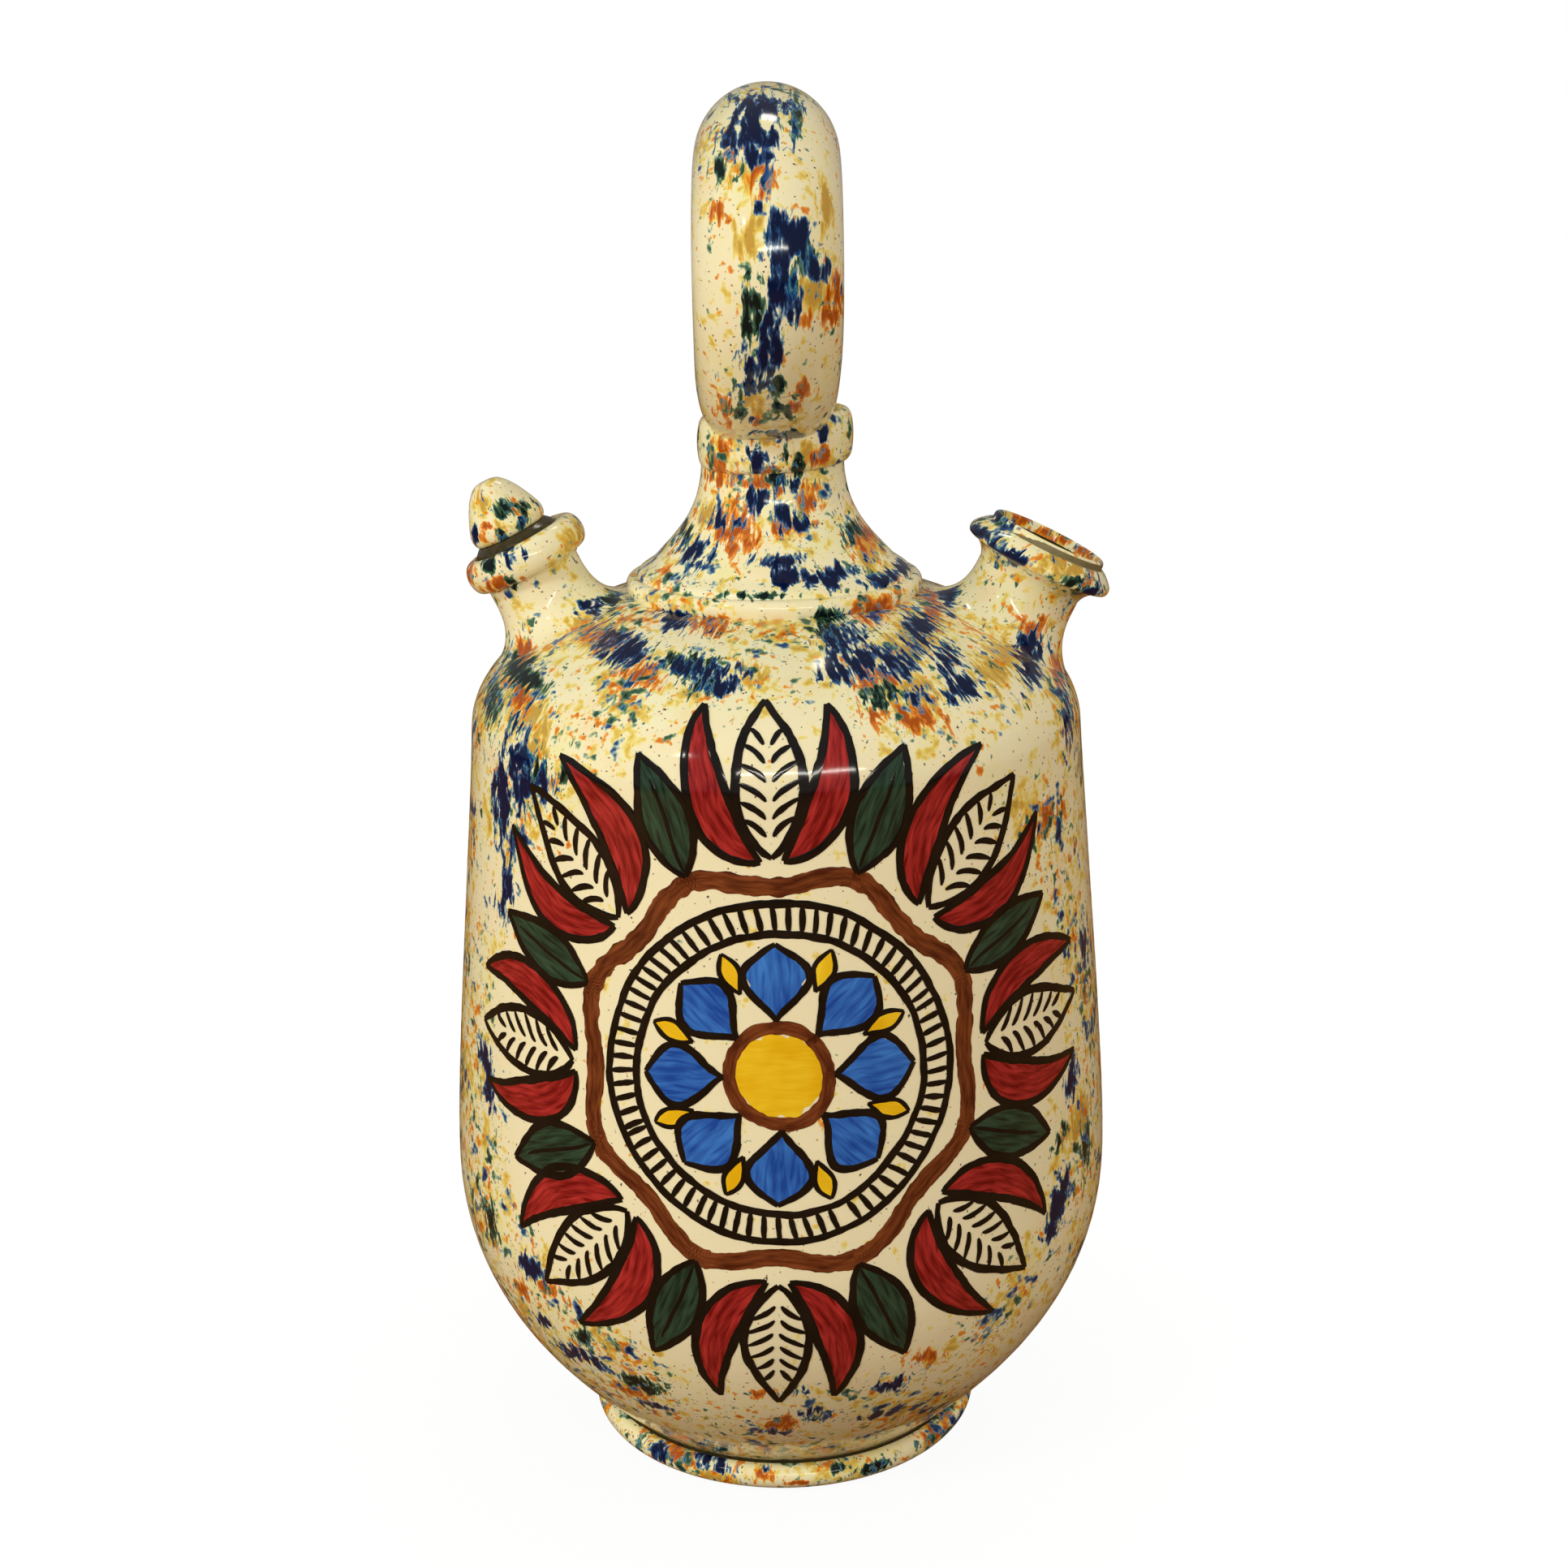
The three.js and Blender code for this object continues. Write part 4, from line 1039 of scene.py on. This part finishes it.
# %% Bodies and slots
shows = {
    "jug_body": ("pot", "shoulder"),
    "foot_ring_glazed": ("foot_ring",),
    "neck_trumpet": ("neck",),
    "collar_coil": ("collar",),
    "ring_handle_glazed": ("ring_handle",),
    "filling_neck_glazed": ("filling_neck",),
    "filling_rim_glazed": ("filling_rim",),
    "pouring_neck_glazed": ("pouring_neck",),
    "pouring_rim_glazed": ("pouring_rim",),
    "stopper_disc": ("stopper_plug",),
    "stopper_acorn": ("stopper_knob",),
}
for name, nodes in shows.items():
    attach(pieces[name], "stopper" if name.startswith("stopper") else "jug")
    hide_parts(*nodes)
print(len(shows), "pieces take the place of", sum(len(nodes) for nodes in shows.values()), "members")

# %% [markdown]
# ## The studio
# The photograph was cut out on white, but the glaze still shows that the room was dim and the
# ground warm. So the floor is white to the camera alone, with the jug's shadow faint on it; the jug
# itself sees warm paper.

# %% Floor and room
floor_mesh = bpy.data.meshes.new("floor")
floor_mesh.from_pydata([(-4, -4, 0), (4, -4, 0), (4, 4, 0), (-4, 4, 0)], [], [(0, 1, 2, 3)])
floor = placed("floor", floor_mesh)
paper = bpy.data.materials.new("white paper sweep")
paper.use_nodes = True
tree = paper.node_tree
out = tree.nodes["Material Output"]
seen = add(tree, "ShaderNodeLightPath").outputs["Is Camera Ray"]
place = add(tree, "ShaderNodeTexCoord").outputs["Object"]
away = add(tree, "ShaderNodeVectorMath", [place], operation="LENGTH").outputs["Value"]
# The shadow is let through near the foot only and fades out within a quarter of a metre.
fade = {"Value": away, "From Min": 0.05, "From Max": 0.25, "To Min": 0.08, "To Max": 0}
faint = add(tree, "ShaderNodeMapRange", fade)
glow = add(tree, "ShaderNodeEmission", {"Strength": 1.02})
shaded = add(tree, "ShaderNodeBsdfDiffuse")
white = add(tree, "ShaderNodeMixShader", [faint, glow, shaded])
warm = add(tree, "ShaderNodeBsdfDiffuse", {"Color": linear("#80592F")})
mixed = add(tree, "ShaderNodeMixShader", [seen, warm, white])
tree.links.new(mixed.outputs[0], out.inputs["Surface"])
floor.data.materials.append(paper)

# Away from the lamps the room is dim and warm.
world = bpy.data.worlds.new("studio")
bpy.context.scene.world = world
world.use_nodes = True
tree = world.node_tree
seen = add(tree, "ShaderNodeLightPath").outputs["Is Camera Ray"]
room = add(tree, "ShaderNodeMix", {"Factor": seen, 6: linear("#827E7A"), 7: (1, 1, 1, 1)}, data_type="RGBA")
tree.links.new(room.outputs[2], tree.nodes["Background"].inputs["Color"])
print("stage:", floor.name, "and", world.name)

# %% [markdown]
# ## Lamps and camera
# A small bulb, a row of tubes and a ceiling lamp give the gloss its glints. The key and three wide
# panels only light the jug: hidden from the gloss, they don't show in it as bright sheets. The camera
# was matched to the photograph by the ellipses of foot and neck.


# %% Lights and camera
def soft_light(name, place, aim, size, power, tint, mirrored):
    """An area lamp; one that is not mirrored lights the jug without showing in its gloss."""
    lamp = bpy.data.lights.new(name, "AREA")
    lamp.shape = "RECTANGLE"
    lamp.size, lamp.size_y = size
    lamp.energy = power
    lamp.color = linear(tint)[:3]
    holder = placed(name, lamp)
    holder.location = place
    holder.visible_glossy = mirrored
    holder.rotation_mode = "QUATERNION"
    holder.rotation_quaternion = (Vector(aim) - Vector(place)).to_track_quat("-Z", "Y")
    print(name, power, "W")


soft_light("key", (-0.9, -1.1, 1.35), (0, 0, 0.2), (0.3, 0.26), 10, "#F6FFF6", False)
soft_light("bulb", (-0.9, -1.1, 1.3), (0, 0, 0.2), (0.07, 0.07), 0.9, "#FFFCF2", True)
soft_light("tubes", (0.3, -1.9, 1.0), (0, 0, 0.2), (1.6, 0.04), 9, "#FCF9EE", True)
soft_light("ceiling", (0.05, 0.45, 1.3), (0, 0, 0.3), (0.22, 0.1), 1, "#FFF7EA", True)
soft_light("left", (-1.45, -0.75, 0.15), (0, 0, 0.1), (1.4, 0.9), 21, "#FFF3E0", False)
soft_light("right", (1.4, -0.7, 0.9), (0, 0, 0.2), (1.2, 1.2), 11, "#FFF3E0", False)
soft_light("behind", (0.5, 1.6, 0.7), (0, 0, 0.2), (1.5, 1.2), 11, "#FFF6E8", False)

SENSOR = 36
PHOTO_WIDTH, FOCAL_LENGTH = 1932, 2871  # in pixels
LOOKS_DOWN, ROLL = 16.4, -0.7  # in degrees
CAMERA_PLACE = (2.1 * MM, -665 * MM, 398.5 * MM)
lens = bpy.data.cameras.new("camera")
lens.sensor_width = SENSOR
lens.lens = SENSOR * FOCAL_LENGTH / PHOTO_WIDTH
camera = placed("camera", lens)
pitched = Matrix.Rotation(math.radians(90 - LOOKS_DOWN), 4, "X")
rolled = Matrix.Rotation(math.radians(ROLL), 4, "Z")
camera.matrix_world = Matrix.Translation(CAMERA_PLACE) @ (pitched @ rolled)
bpy.context.scene.camera = camera
bpy.context.scene.view_settings.view_transform = "Standard"
